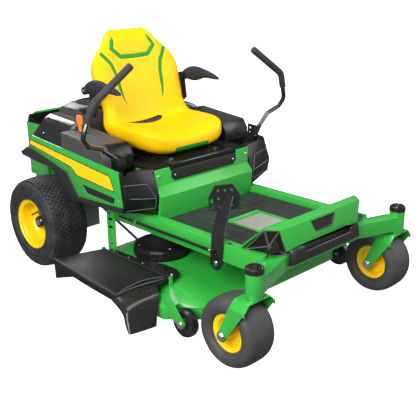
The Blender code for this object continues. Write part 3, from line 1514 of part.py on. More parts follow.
def seat_cushion():
    """The bucket cushion: a cube drawn out along the seat's spine, dished, then smoothed."""
    bm = bmesh.new()
    bmesh.ops.create_cube(bm, size=2)
    for axis, cuts in ((0, 12), (1, 6), (2, 1)):
        along = [e for e in bm.edges if abs((e.verts[0].co - e.verts[1].co)[axis]) > 1]
        bmesh.ops.subdivide_edges(bm, edges=along, cuts=cuts, use_grid_fill=True)
    for vert in bm.verts:
        v, u, w = vert.co
        middle, angle, folded, on_back = seat_spine((v + 1) / 2)
        normal = Vector((math.sin(angle), 0, -math.cos(angle)))
        front = max(0, 1 - (SEAT_FRONT_X - middle.x) / SEAT_FRONT_ROLL) * (1 - folded)
        thick = SEAT_PAN_T + (SEAT_BACK_T - SEAT_PAN_T) * folded
        over = thick / 2 + SEAT_DISH * u * u * (1 - on_back**2) - SEAT_FRONT_DROP * front**2
        under = SEAT_SIDE_LIFT * u**4 * (1 - 0.5 * front) - thick / 2
        lift = (over + under) / 2 + (over - under) / 2 * w
        place = middle + normal * lift
        vert.co = (place.x, u * seat_half_width(front, on_back), place.z)
    cushion = solid(bm)
    smooth = cushion.modifiers.new("Smooth", "SUBSURF")
    smooth.levels = smooth.render_levels = 1
    piece("seat", cushion, VINYL)


def seat_mount():
    """The tilting seat plate with its runners, and the frame that slides on them."""
    low, high = SEAT_PLATE_Z, SEAT_PLATE_Z + SEAT_PLATE_T
    rear = SEAT_HINGE_X - SEAT_PLATE_LENGTH
    hinge_z = TOWER_TOP + GAP + SEAT_HINGE_R
    base = block((rear, -SEAT_PLATE_HALF, low), (SEAT_HINGE_X, SEAT_PLATE_HALF, high))
    barrel = rod(
        (SEAT_HINGE_X, -SEAT_PLATE_HALF, hinge_z),
        (SEAT_HINGE_X, SEAT_PLATE_HALF, hinge_z),
        SEAT_HINGE_R,
        16,
    )
    runners = []
    for side in (RIGHT, LEFT):
        start = (rear + SEAT_PLATE_T, side * RUNNER_Y, low + SEAT_PLATE_T / 2)
        end = (SEAT_HINGE_X - 0.060, side * (RUNNER_Y + RUNNER_W), RUNNER_TOP)
        runners.append(block(start, end))
    pivot = (SEAT_HINGE_X, 0, hinge_z)
    piece("seat_plate", base, BLACK, pivot=pivot, add=[barrel] + runners)

    foot, top = SEAT_BASE_Z, SEAT_BASE_Z + SEAT_BASE_T
    base = block(
        (SEAT_BASE_REAR_X, -SEAT_BASE_HALF, foot),
        (SEAT_BASE_REAR_X + SEAT_BASE_LENGTH, SEAT_BASE_HALF, top),
    )
    back_x, bar_z = ARM_PIVOT_X - 0.118, ARM_PIVOT_Z - 0.115
    ear = arc((ARM_PIVOT_X, ARM_PIVOT_Z), ARM_EAR_R, 0, 180, 6)
    ear += [
        (ARM_PIVOT_X - ARM_EAR_R, bar_z + ARM_EAR_R),
        (back_x, bar_z + ARM_TUBE_R),
        (back_x, bar_z - ARM_TUBE_R),
        (ARM_PIVOT_X, bar_z - 2 * ARM_TUBE_R),
        (ARM_PIVOT_X + 1.6 * ARM_EAR_R, bar_z + ARM_TUBE_R),
    ]
    ears = [
        plate(ear, side * (ARM_POST_Y - ARM_EAR_T), side * ARM_POST_Y, "Y")
        for side in (RIGHT, LEFT)
    ]
    reach = ARM_POST_Y - ARM_EAR_T / 2
    ears.append(rod((back_x, -reach, bar_z), (back_x, reach, bar_z), ARM_TUBE_R, 12))
    strap = [
        (back_x, 0, bar_z),
        (back_x, 0, foot + ARM_TUBE_R),
        (SEAT_BASE_REAR_X + 0.030, 0, foot + SEAT_BASE_T / 2),
    ]
    spine = [
        hull(
            [
                (x + dx, y, z + dz)
                for x, _, z in strap[i : i + 2]
                for y in (-0.040, 0.040)
                for dx, dz in ((-0.004, 0), (0.004, 0), (0, 0.0025), (0, -0.0025))
            ]
        )
        for i in (0, 1)
    ]
    piece("seat_frame", base, BLACK, add=ears + spine)


def armrests():
    """The padded armrests, each folding up about a hub on its post."""
    x, z = ARM_PIVOT_X, ARM_PIVOT_Z
    for name, side in SIDES:
        inner, outer = ARM_IN, ARM_IN + ARM_PAD_W
        hub = rod((x, side * inner, z), (x, side * (outer - 0.008), z), ARM_HUB_R, 20)
        under, over = z + ARM_PAD_RISE - ARM_PAD_H / 2, z + ARM_PAD_RISE + ARM_PAD_H / 2
        rear, front = x - ARM_PAD_BACK, x - ARM_PAD_BACK + ARM_PAD_LENGTH
        section = [
            (rear, under + 0.006),
            (rear + 0.010, under),
            (x + 0.060, under),
            (front - 0.030, under - 0.010),
            (front, under - 0.004),
            (front, under + 0.012),
            (front - 0.060, over - 0.012),
            (x + 0.090, over),
            (rear + 0.030, over - 0.002),
            (rear, over - 0.014),
        ]
        pad = plate(section, side * inner, side * outer, "Y")
        round_over = pad.modifiers.new("Round", "BEVEL")
        round_over.width = 0.009
        round_over.segments = 2
        round_over.limit_method = "ANGLE"
        round_over.angle_limit = math.radians(50)
        piece(name + "_armrest", hub, GREY, pivot=(x, side * inner, z), add=[pad])


# Cutting deck


def deck_outline(grow):
    """The plan of the deck, grown outward: straight in front, cut corners, round behind."""
    half = DECK_HALF + grow
    centre_y = DECK_HALF - DECK_LOBE_R
    side = [
        (DECK_FRONT_X + grow, DECK_FRONT_HALF + grow / 2),
        (DECK_CORNER_X + grow / 2, half),
    ]
    side += arc((SPINDLE_X, centre_y), DECK_LOBE_R + grow, 90, 180, 10)
    return side + [(x, -y) for x, y in side[::-1]]


def deck_top_outline(grow):
    """The plan of the deck's flat top, behind its long front slope."""
    front, corner = DECK_TOP_FRONT_X + grow, DECK_TOP_FRONT_X - DECK_SHOULDER / 2 + grow
    side = [(front, DECK_TOP_FRONT_HALF), (corner, DECK_HALF - DECK_SHOULDER + grow)]
    return side + [(x, -y) for x, y in side] + deck_outline(grow - DECK_SHOULDER)[2:-2]


def deck_hull(wall, low):
    """The deck's outside, or its inside when drawn in by a wall, with sloping shoulders."""
    corners = [(x, y, z) for z in (low, DECK_SHOULDER_Z - wall) for x, y in deck_outline(-wall)]
    corners += [(x, y, DECK_TOP - wall) for x, y in deck_top_outline(-wall)]
    return hull(corners)


def wheel_pocket(side, wall):
    """The space kept free of deck round an anti-scalp wheel, with a wall round it."""
    room = SCALP_ROOM + wall
    reach = SCALP_R + room
    return block(
        (SCALP_X - reach, side * (SCALP_Y - SCALP_W / 2 - room), 0),
        (SCALP_X + reach, side * (DECK_HALF + reach), DECK_TOP + reach),
    )


def deck_solid(wall, low):
    """The deck with the pockets for its anti-scalp wheels cut out of its front corners."""
    body = deck_hull(wall, low)
    combine(body, "DIFFERENCE", [wheel_pocket(side, wall) for side in (RIGHT, LEFT)])
    return body


def scalp_mounts(side):
    """The strap and axle of an anti-scalp wheel, welded to the front corner of the deck."""
    strap_in = SCALP_Y + SCALP_W / 2 + GAP
    strap_out = strap_in + SCALP_STRAP_T
    head = strap_out + SCALP_BOLT_PROUD
    tail, top = DECK_CORNER_X - SCALP_STRAP_TAIL, DECK_SHOULDER_Z + SCALP_STRAP_HIGH
    outline = [
        (tail, DECK_SHOULDER_Z - SCALP_STRAP_LOW),
        (tail, top),
        (DECK_CORNER_X + SCALP_STRAP_TAIL, top + SCALP_STRAP_BROW),
        (SCALP_X + SCALP_EYE_R, SCALP_Z + SCALP_EYE_RISE),
    ]
    outline += arc((SCALP_X, SCALP_Z), SCALP_EYE_R, 0, -120, 6)
    strap = plate(outline, side * strap_in, side * strap_out, "Y")
    axle_in, middle = SCALP_Y - SCALP_W / 2, strap_in + SCALP_STRAP_T / 2
    sunk = strap_in + SCALP_STRAP_T / 3
    axle = rod((SCALP_X, side * axle_in, SCALP_Z), (SCALP_X, side * middle, SCALP_Z), SCALP_AXLE_R)
    bolt = rod((SCALP_X, side * sunk, SCALP_Z), (SCALP_X, side * head, SCALP_Z), SCALP_BOLT_R, 6)
    return [strap, axle, bolt]


def chute_lug(start, end, grow):
    """A lug that holds one end of the chute's hinge, or the room for it when grown."""
    reach = CHUTE_HINGE_R + CHUTE_LUG_WALL + grow
    low = (start - grow, -CHUTE_HINGE_Y - reach, DECK_SHOULDER_Z - grow)
    high = (end + grow, -CHUTE_HINGE_Y + reach, CHUTE_HINGE_Z + reach)
    return block(low, high)


def deck_additions():
    """What is welded to the deck: hangers beside the rails, wheel straps and chute lugs."""
    add = []
    inner = RAIL_OUT + PIVOT_PLAY
    for side in (RIGHT, LEFT):
        low = (HANGER_X - HANGER_W / 2, side * inner, DECK_SHOULDER_Z)
        high = (HANGER_X + HANGER_W / 2, side * (inner + HANGER_T), RAIL_TOP - CASTING)
        add.append(block(low, high))
        add += scalp_mounts(side)
    add += [chute_lug(start, end, 0) for start, end in CHUTE_LUGS]
    return add


def deck_shell():
    """The pressed deck, open below and at its right for the discharge."""
    body = deck_solid(0, DECK_BOTTOM)
    hollow = deck_solid(SHEET, DECK_BOTTOM - DECK_H)
    mouth = block(
        (SPINDLE_X - MOUTH_BEHIND, -DECK_HALF - MOUTH_PAST, DECK_BOTTOM - MOUTH_PAST),
        (CHUTE_HINGE_FRONT_X, MOUTH_DEEP - DECK_HALF, DECK_SHOULDER_Z - SHEET),
    )
    bores = [
        rod(
            (SPINDLE_X, side * SPINDLE_Y, DECK_TOP - 2 * SHEET),
            (SPINDLE_X, side * SPINDLE_Y, DECK_TOP + 2 * SHEET),
            SPINDLE_R + PIVOT_PLAY,
        )
        for side in (RIGHT, LEFT)
    ]
    combine(body, "DIFFERENCE", [hollow, mouth])
    piece("deck_shell", body, GREEN, add=deck_additions(), cut=bores)


def ring_hull(points):
    """The convex outline round some (x, y) points, anticlockwise."""
    points = sorted(set(points))

    def chain(ordered):
        out = []
        for p in ordered:
            while len(out) > 1:
                (ax, ay), (bx, by) = out[-2], out[-1]
                if (bx - ax) * (p[1] - ay) - (by - ay) * (p[0] - ax) > 0:
                    break
                out.pop()
            out.append(p)
        return out[:-1]

    return chain(points) + chain(points[::-1])


def belt_outline(grow):
    """The belt's path round the three pulleys, its inner face grown outward."""
    rings = []
    for x, y, radius in (
        (SPINDLE_X, SPINDLE_Y, SPINDLE_PULLEY_R),
        (SPINDLE_X, -SPINDLE_Y, SPINDLE_PULLEY_R),
        (CRANK_X, 0, ENGINE_PULLEY_R),
    ):
        rings += arc((x, y), radius + grow, 0, 342, 19)
    return ring_hull(rings)


def deck_belt():
    """The belt from the crank pulley round the two spindles."""
    low, high = BELT_Z - BELT_H / 2, BELT_Z + BELT_H / 2
    band = plate(belt_outline(3 * GAP + BELT_T), low, high, "Z")
    inside = plate(belt_outline(3 * GAP), low - SHEET, high + SHEET, "Z")
    piece("deck_belt", band, RUBBER, cut=[inside])


def belt_covers():
    """The covers over the spindle pulleys, open where the belt runs through."""
    room = BELT_H / 2 + BELT_ROOM
    for name, side in SIDES:
        centre = (SPINDLE_X, side * SPINDLE_Y, 0)
        foot = DECK_TOP + GAP
        profile = [
            (0, COVER_ROOF),
            (0.55 * COVER_R, COVER_ROOF),
            (0.86 * COVER_R, COVER_ROOF - 0.012),
            (COVER_R, foot + 0.030),
            (COVER_R, foot),
            (COVER_R - SHEET, foot),
            (COVER_R - SHEET, foot + 0.030),
            (0.84 * COVER_R, COVER_ROOF - 0.012 - SHEET),
            (0.53 * COVER_R, COVER_ROOF - SHEET),
            (0, COVER_ROOF - SHEET),
        ]
        cover = lathe(profile, centre, (0, 0, 1), 24, False)
        low, high = BELT_Z - room, BELT_Z + room
        path = plate(belt_outline(BELT_T + BELT_ROOM), low, high, "Z")
        piece(name + "_belt_cover", cover, BLACK, cut=[path])


def spindles():
    """The blade spindles: shaft, belt pulley above the deck, and blade below it."""
    for name, side in SIDES:
        x, y = SPINDLE_X, side * SPINDLE_Y
        top = BELT_Z + BELT_H / 2 + 2 * SHEET
        low = DECK_BOTTOM + BLADE_RISE
        profile = pulley_profile(SPINDLE_PULLEY_R, top, low - SHEET, SPINDLE_R, BELT_Z)
        shaft = lathe(profile, (x, y, 0), (0, 0, 1), 18, False)
        blade = block(
            (x - BLADE_W / 2, y - BLADE_R, low), (x + BLADE_W / 2, y + BLADE_R, low + BLADE_T)
        )
        piece(name + "_spindle", shaft, STEEL, add=[blade])


def scalp_wheels():
    """The two anti-scalp wheels at the front corners of the deck."""
    half = SCALP_W / 2
    profile = both_ways(
        [
            (SCALP_AXLE_R + PIVOT_PLAY, half),
            (SCALP_R - 0.012, half),
            (SCALP_R - 0.003, half - 0.005),
            (SCALP_R, half - 0.012),
        ]
    )
    for name, side in SIDES:
        centre = (SCALP_X, side * SCALP_Y, SCALP_Z)
        piece(name + "_scalp_wheel", lathe(profile, centre, (0, side, 0), 20, True), BLACK)


# The open outer side of the chute: (x, z) along its arched upper edge, and back below the ground
CHUTE_MOUTH = (
    (0.280, 0.080),
    (0.400, 0.112),
    (0.660, 0.146),
    (0.780, 0.146),
    (0.880, 0.130),
    (0.960, 0.108),
    (0.990, -0.020),
    (0.280, -0.020),
)


def chute_points(shift):
    """The corners of the discharge chute, moved in from its front, outside and roof."""
    hinge_front, hinge_rear = CHUTE_HINGE_FRONT_X, CHUTE_HINGE_REAR_X
    roof = CHUTE_HINGE_Z
    corners = [
        (hinge_front, CHUTE_HINGE_Y, roof),
        (hinge_rear, CHUTE_HINGE_Y, roof),
        (hinge_front + 0.035, CHUTE_HINGE_Y + 0.100, roof - 0.012),
        (hinge_front - 0.020, CHUTE_OUT - 0.050, roof - 0.045),
        (hinge_rear - 0.135, CHUTE_OUT - 0.076, roof - 0.030),
        (hinge_front + 0.071, CHUTE_OUT, CHUTE_FOOT_Z),
        (hinge_front + 0.087, CHUTE_OUT - 0.126, CHUTE_FOOT_Z),
        (hinge_rear - 0.170, CHUTE_OUT - 0.095, CHUTE_FOOT_Z + 0.010),
        (hinge_rear - 0.020, CHUTE_OUT - 0.150, CHUTE_FOOT_Z + 0.010),
    ]
    return [(x - shift, shift - y, z - shift) for x, y, z in corners]


def discharge_chute():
    """The chute over the deck's right mouth, hinged along its inner edge."""
    body = hull(chute_points(0))
    hollow = hull(chute_points(CHUTE_T))
    ground = deck_hull(-CHUTE_DECK_PLAY, DECK_BOTTOM - DECK_H)
    mouth = plate(CHUTE_MOUTH, -CHUTE_OUT - CHUTE_T, -CHUTE_OUT + CHUTE_MOUTH_DEEP, "Y")
    start = (CHUTE_HINGE_REAR_X, -CHUTE_HINGE_Y, CHUTE_HINGE_Z)
    end = (CHUTE_HINGE_FRONT_X, -CHUTE_HINGE_Y, CHUTE_HINGE_Z)
    barrel = rod(start, end, CHUTE_HINGE_R, 16)
    room = [chute_lug(rear, front, CHUTE_LUG_PLAY) for rear, front in CHUTE_LUGS]
    combine(body, "DIFFERENCE", [hollow, ground, mouth] + room)
    piece("discharge_chute", body, BLACK, pivot=start, add=[barrel])


def centre_machine():
    """Shifts the machine so that the origin is under the middle of its box."""
    front = CASTER_AXLE_X + CASTER_TYRE_D / 2
    left = max(y for _, y, _ in LEVER_PATH) + LEVER_TUBE_R
    ROOT.location = (-(front + HITCH_X) / 2, -(left - CHUTE_OUT) / 2, 0)


def main():
    frame_rails()
    front_beam()
    rear_guard()
    floor()
    front_cover()
    front_handle()
    seat_tower()
    corner_covers()
    fenders()
    controls()
    engine()
    transaxles()
    engine_pulley()
    rear_wheels()
    caster_wheels()
    casters()
    levers()
    lift_pedal()
    lift_rod()
    seat_mount()
    seat_cushion()
    armrests()
    deck_shell()
    deck_belt()
    belt_covers()
    spindles()
    scalp_wheels()
    discharge_chute()
    centre_machine()


main()
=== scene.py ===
"""Zero turn mower: finishes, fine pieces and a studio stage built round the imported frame.

Pieces are worked out in the machine's own frame: x forward from the rear axle, y to the operator's
left from the middle, z up from the ground, in metres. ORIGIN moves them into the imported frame.
"""

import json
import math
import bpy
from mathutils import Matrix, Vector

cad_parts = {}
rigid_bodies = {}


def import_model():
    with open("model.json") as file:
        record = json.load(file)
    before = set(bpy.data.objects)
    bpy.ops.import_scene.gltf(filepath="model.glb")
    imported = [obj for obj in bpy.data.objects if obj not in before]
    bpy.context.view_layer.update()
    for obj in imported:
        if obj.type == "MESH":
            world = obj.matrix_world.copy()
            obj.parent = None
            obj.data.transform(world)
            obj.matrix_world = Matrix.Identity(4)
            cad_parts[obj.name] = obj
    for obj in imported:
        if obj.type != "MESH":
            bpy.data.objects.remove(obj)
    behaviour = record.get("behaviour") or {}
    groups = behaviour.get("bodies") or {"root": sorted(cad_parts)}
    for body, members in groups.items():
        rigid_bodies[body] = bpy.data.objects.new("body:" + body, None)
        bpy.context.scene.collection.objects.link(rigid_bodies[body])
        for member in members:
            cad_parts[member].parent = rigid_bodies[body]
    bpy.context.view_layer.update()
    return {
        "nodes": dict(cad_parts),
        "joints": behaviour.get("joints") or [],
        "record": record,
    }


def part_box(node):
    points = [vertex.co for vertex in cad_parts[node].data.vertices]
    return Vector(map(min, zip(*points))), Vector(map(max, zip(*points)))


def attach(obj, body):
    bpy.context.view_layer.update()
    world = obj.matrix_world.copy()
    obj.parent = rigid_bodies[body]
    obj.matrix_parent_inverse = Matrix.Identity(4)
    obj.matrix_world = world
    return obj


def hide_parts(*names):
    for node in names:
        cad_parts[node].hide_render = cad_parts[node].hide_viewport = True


bl_info = {
    "name": "Zero turn mower",
    "version": (1, 0, 0),
    "blender": (4, 5, 0),
    "location": "View3D > Sidebar > Mower",
    "description": "Dresses the packed mower with its finishes, tyres, seat and fittings",
    "category": "Object",
}

import bmesh
import bpy
import numpy as np
from bpy.props import FloatProperty, FloatVectorProperty, IntProperty, PointerProperty
from mathutils import Matrix

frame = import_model()
JOINTS = {joint["name"]: joint for joint in frame["joints"]}
SIDES = (("right", -1), ("left", 1))
X, Y, Z = np.eye(3)


def joint_place(name):
    """A joint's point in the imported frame."""
    return np.array(JOINTS[name]["pos_m"], float)


REAR_AXLES = [joint_place(side + "_wheel_spin") for side, _ in SIDES]
ORIGIN = np.mean(REAR_AXLES, axis=0) * (1, 1, 0)


def pivot(name):
    """A joint's point in the machine's frame."""
    return joint_place(name) - ORIGIN


def corners(node):
    """Lowest and highest corner of a CAD node in the machine's frame."""
    low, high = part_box(node)
    return np.array(low) - ORIGIN, np.array(high) - ORIGIN


# Settings


def colour(name, text, default):
    """A colour that the user can change."""
    return FloatVectorProperty(
        name=name, description=text, default=default, subtype="COLOR", min=0, max=1, size=3
    )


def length(name, text, default):
    """A length that the user can change, in metres."""
    return FloatProperty(
        name=name, description=text, default=default, unit="LENGTH", subtype="DISTANCE", min=0, precision=4
    )


class FinishSettings(bpy.types.PropertyGroup):
    """Colours of the machine's finishes."""

    green: colour("Green", "Gloss paint of the frame, deck and panels", (0.030, 0.375, 0.046))
    yellow: colour("Yellow", "Paint of the rims and the stripe", (0.960, 0.605, 0.000))
    vinyl: colour("Vinyl", "Seat cover", (0.880, 0.515, 0.001))
    black: colour("Black", "Moulded covers", (0.018, 0.018, 0.018))
    gloss_black: colour("Gloss black", "Painted tubes and plates", (0.010, 0.010, 0.011))
    rubber: colour("Rubber", "Tyres, mat and belt", (0.022, 0.022, 0.022))
    grey: colour("Grey", "Grips, pads and the engine cover", (0.045, 0.045, 0.044))
    pad: colour("Pad", "Armrest skin", (0.026, 0.028, 0.034))
    orange: colour("Orange", "Throttle paddle", (0.880, 0.210, 0.020))
    zinc: colour("Zinc", "Bolts, pins and links", (0.620, 0.620, 0.630))
    pale: colour("Pale", "Bare plate on the hatch", (0.310, 0.305, 0.280))
    alloy: colour("Alloy", "Castings", (0.300, 0.300, 0.305))


class WheelSettings(bpy.types.PropertyGroup):
    """Sizes of the tyres and rims."""

    tread_depth: length("Tread depth", "Height of the rear tyre's blocks", 0.007)
    tread_rows: IntProperty(
        name="Tread rows", description="Blocks round the rear tyre", default=54, min=12, max=120
    )
    bolts: IntProperty(
        name="Wheel bolts", description="Bolts on each rear hub", default=4, min=3, max=8
    )


class SeatSettings(bpy.types.PropertyGroup):
    """Sizes of the padded pieces."""

    voxel: length("Voxel", "Grain of the mesh that the cover is inflated on", 0.0070)
    shrink: length("Shrink", "How far the uninflated cover lies inside the cushion", 0.006)
    swell: length("Swell", "Furthest that the cover may swell out", 0.011)
    band: length("Band", "Width of the green bands on the back", 0.022)
    seam: length("Seam", "Depth of the sewn seams", 0.0022)


class StageSettings(bpy.types.PropertyGroup):
    """The studio's floor and light."""

    floor: colour("Floor", "Pale studio floor", (0.930, 0.930, 0.930))
    floor_glow: FloatProperty(
        name="Floor glow", description="Light of the floor itself", default=1.05, min=0
    )
    key: FloatProperty(name="Key", description="Main softbox, in watts", default=300.0, min=0)
    top: FloatProperty(name="Top", description="Softbox overhead, in watts", default=95.0, min=0)
    fill: FloatProperty(name="Fill", description="Fill softboxes, in watts", default=92.0, min=0)
    rear: FloatProperty(name="Rear", description="Softbox behind, in watts", default=70.0, min=0)
    sky: FloatProperty(name="Sky", description="Light from all round", default=0.24, min=0)


# Shapes


def unit(vectors):
    """Vectors of length one, along the last axis."""
    vectors = np.asarray(vectors, float)
    return vectors / np.linalg.norm(vectors, axis=-1, keepdims=True)


def across(axis):
    """Two unit vectors square to an axis and to each other, right-handed with it."""
    axis = unit(axis)
    seed = X if abs(axis[0]) < 0.8 else Z
    first = unit(np.cross(seed, axis))
    return first, np.cross(axis, first)


def turned(profile, centre, axis, steps):
    """Grid of a turned form: point = centre + h axis + r (cos t first + sin t second)."""
    profile = np.asarray(profile, float)
    first, second = across(axis)
    turn = np.linspace(0, 2 * np.pi, steps, endpoint=False)
    spoke = np.cos(turn)[:, None] * first + np.sin(turn)[:, None] * second
    return centre + profile[:, :1, None] * spoke + profile[:, 1:, None] * unit(axis)


def smooth_path(points, count):
    """Points along a smooth curve through a few: a Catmull-Rom spline with mirrored ends."""
    points = np.asarray(points, float)
    p = np.concatenate([[2 * points[0] - points[1]], points, [2 * points[-1] - points[-2]]])
    t = np.linspace(0, len(points) - 1, count)
    k = np.minimum(t.astype(int), len(points) - 2)
    f = (t - k)[:, None]
    a, b, c, d = p[k], p[k + 1], p[k + 2], p[k + 3]
    return 0.5 * (2 * b + (c - a) * f + (2 * a - 5 * b + 4 * c - d) * f**2 + (3 * b - a - 3 * c + d) * f**3)


def swept(path, section, flat=Z, scale=1.0):
    """Grid of a section carried along a path: point = path + u side + v up, up as near flat as it goes."""
    path = np.asarray(path, float)
    along = unit(np.gradient(path, axis=0))
    side = unit(np.cross(along, np.broadcast_to(flat, along.shape)))
    up = np.cross(side, along)
    section = np.asarray(section, float)
    size = np.broadcast_to(np.asarray(scale, float), len(path))[:, None, None]
    spread = side[:, None] * section[None, :, :1] + up[:, None] * section[None, :, 1:]
    return path[:, None] + size * spread


def circle(radius, sides=16):
    """Points round a circle."""
    turn = np.linspace(0, 2 * np.pi, sides, endpoint=False)
    return radius * np.stack([np.cos(turn), np.sin(turn)], -1)


def filleted(outline, radius, steps=4):
    """An outline with each corner turned into an arc that is drawn as a quadratic curve."""
    outline = np.asarray(outline, float)
    radius = np.broadcast_to(np.asarray(radius, float), len(outline))[:, None]
    before = np.roll(outline, 1, axis=0) - outline
    after = np.roll(outline, -1, axis=0) - outline
    reach = np.minimum(np.linalg.norm(before, axis=1), np.linalg.norm(after, axis=1))[:, None] * 0.48
    start = outline + unit(before) * np.minimum(radius, reach)
    end = outline + unit(after) * np.minimum(radius, reach)
    t = np.linspace(0, 1, steps)[None, :, None]
    curve = (1 - t) ** 2 * start[:, None] + 2 * t * (1 - t) * outline[:, None] + t**2 * end[:, None]
    return curve.reshape(-1, outline.shape[1])


def inset(outline, amount):
    """A closed flat outline moved inwards, each corner along its own mitre."""
    outline = np.asarray(outline, float)
    to_next = unit(np.roll(outline, -1, axis=0) - outline)
    from_last = np.roll(to_next, 1, axis=0)
    area = np.sum(outline[:, 0] * np.roll(outline[:, 1], -1) - outline[:, 1] * np.roll(outline[:, 0], -1))
    turn = np.sign(area)
    normal_a = np.stack([-from_last[:, 1], from_last[:, 0]], -1) * turn
    normal_b = np.stack([-to_next[:, 1], to_next[:, 0]], -1) * turn
    share = 1 + np.sum(normal_a * normal_b, axis=1, keepdims=True)
    return outline + amount * (normal_a + normal_b) / np.maximum(share, 0.25)


BOLT_SUNK = 0.0006


class Shape:
    """Grids of points gathered into one mesh."""

    def __init__(self):
        self.points = []
        self.faces = []
        self.count = 0

    def grid(self, points, round_rows=False, round_columns=True, caps=True):
        """Adds a grid of points as quads, its rows closed into rings and its two ends capped."""
        rows, columns = points.shape[:2]
        r = np.arange(rows if round_rows else rows - 1)
        c = np.arange(columns if round_columns else columns - 1)
        r, c = np.meshgrid(r, c, indexing="ij")
        up, right = (r + 1) % rows, (c + 1) % columns
        quads = np.stack([r * columns + c, r * columns + right, up * columns + right, up * columns + c], -1)
        self.faces += (quads.reshape(-1, 4) + self.count).tolist()
        if caps and round_columns and not round_rows:
            ring = np.arange(columns) + self.count
            self.faces += [ring[::-1].tolist(), (ring + (rows - 1) * columns).tolist()]
        self.points.append(points.reshape(-1, 3))
        self.count += rows * columns
        return self

    def turn(self, profile, centre, axis, steps):
        """Adds a turned form."""
        return self.grid(turned(profile, np.asarray(centre, float), axis, steps))

    def tube(self, path, radius, sides=16, flat=Z, scale=1.0):
        """Adds a round tube along a path."""
        return self.grid(swept(path, circle(radius, sides), flat, scale))

    def slab(self, outline, low, high, axis, edge=0.001, steps=2):
        """Adds a flat outline as a plate with rounded edges.

        The outline lies in the two axes after the given one, in x, y, z order; its rings step in by
        edge (1 - sin a) while they rise by edge (1 - cos a), and one more ring holds each face flat.
        """
        angle = np.linspace(0, np.pi / 2, steps + 1)
        step_in, rise = edge * (1 - np.sin(angle)), edge * (1 - np.cos(angle))
        step_in, rise = np.insert(step_in, 0, 1.2 * edge), np.insert(rise, 0, 0)
        levels = np.concatenate([low + rise, high - rise[::-1]])
        insets = np.concatenate([step_in, step_in[::-1]])
        rings = np.stack([inset(outline, amount) for amount in insets])
        points = np.empty(rings.shape[:2] + (3,))
        points[..., [k for k in range(3) if k != axis]] = rings
        points[..., axis] = levels[:, None]
        return self.grid(points)

    def rim(self, outline, low, high, axis, width):
        """Adds a raised frame along a flat outline: a bar with rounded edges that closes on itself."""
        section = filleted([(0, low), (0, high), (width, high), (width, low)], 0.3 * width)
        rings = np.stack([inset(outline, step) for step in section[:, 0]])
        points = np.empty(rings.shape[:2] + (3,))
        points[..., [k for k in range(3) if k != axis]] = rings
        points[..., axis] = section[:, 1][:, None]
        return self.grid(points, round_rows=True)

    def placed(self, matrix):
        """Turns and moves everything gathered so far."""
        matrix = np.asarray(matrix, float)
        self.points = [p @ matrix[:3, :3].T + matrix[:3, 3] for p in self.points]
        return self

    def bolt(self, place, axis, radius, height):
        """Adds a hexagon head on a washer, its foot sunk a little under the surface."""
        place, axis = np.asarray(place, float), unit(axis)
        washer = [(0, -BOLT_SUNK), (radius * 1.32, -BOLT_SUNK), (radius * 1.38, height * 0.12)]
        washer += [(radius * 1.32, height * 0.22), (0, height * 0.22)]
        head = [(0, 0), (radius, 0), (radius, height * 0.86), (radius * 0.86, height), (0, height)]
        self.turn(washer, place, axis, 20)
        return self.turn(head, place, axis, 6)

    def button(self, place, axis, radius, height):
        """Adds a domed screw head."""
        angle = np.linspace(0, np.pi / 2, 5)
        dome = np.stack([radius * np.cos(angle), height * np.sin(angle)], -1)
        profile = np.concatenate([[(0, -BOLT_SUNK), (radius, -BOLT_SUNK)], dome])
        return self.turn(profile, place, axis, 16)


MERGE = 1e-6


def outward(mesh):
    """Merges the points that lie on each other and turns every face outwards."""
    bm = bmesh.new()
    bm.from_mesh(mesh)
    bmesh.ops.remove_doubles(bm, verts=bm.verts, dist=MERGE)
    bmesh.ops.dissolve_degenerate(bm, edges=bm.edges, dist=MERGE)
    bmesh.ops.recalc_face_normals(bm, faces=bm.faces)
    bm.to_mesh(mesh)
    bm.free()


def piece(name, shape, look, body, replaces=(), sharp=32.0):
    """Makes a gathered shape an object that rides on a body."""
    mesh = bpy.data.meshes.new(name)
    mesh.from_pydata((np.concatenate(shape.points) + ORIGIN).tolist(), [], shape.faces)
    outward(mesh)
    mesh.shade_smooth()
    mesh.set_sharp_from_angle(angle=math.radians(sharp))
    mesh.materials.append(look)
    obj = bpy.data.objects.new(name, mesh)
    bpy.context.scene.collection.objects.link(obj)
    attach(obj, body)
    if replaces:
        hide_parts(*replaces)
    return obj


def softened(obj, width, crease):
    """Rounds an object's edges that turn by more than an angle."""
    bevel = obj.modifiers.new("Edges", "BEVEL")
    bevel.width = width
    bevel.segments = 2
    bevel.limit_method = "ANGLE"
    bevel.angle_limit = math.radians(crease)
    return obj


# Shaders


class Value:
    """A shader socket that takes part in Python sums."""

    def __init__(self, look, socket):
        self.look = look
        self.socket = socket

    def math(self, operation, first, second):
        """One Math node."""
        return self.look.node("ShaderNodeMath", {"operation": operation}, {0: first, 1: second})

    def __add__(self, other):
        return self.math("ADD", self, other)

    def __radd__(self, other):
        return self.math("ADD", other, self)

    def __mul__(self, other):
        return self.math("MULTIPLY", self, other)

    def __rmul__(self, other):
        return self.math("MULTIPLY", other, self)

    def step(self, low, high):
        """Rises smoothly from 0 at low to 1 at high; low may be the larger."""
        return self.look.node(
            "ShaderNodeMapRange",
            {"interpolation_type": "SMOOTHSTEP"},
            {"Value": self, "From Min": low, "From Max": high},
        )


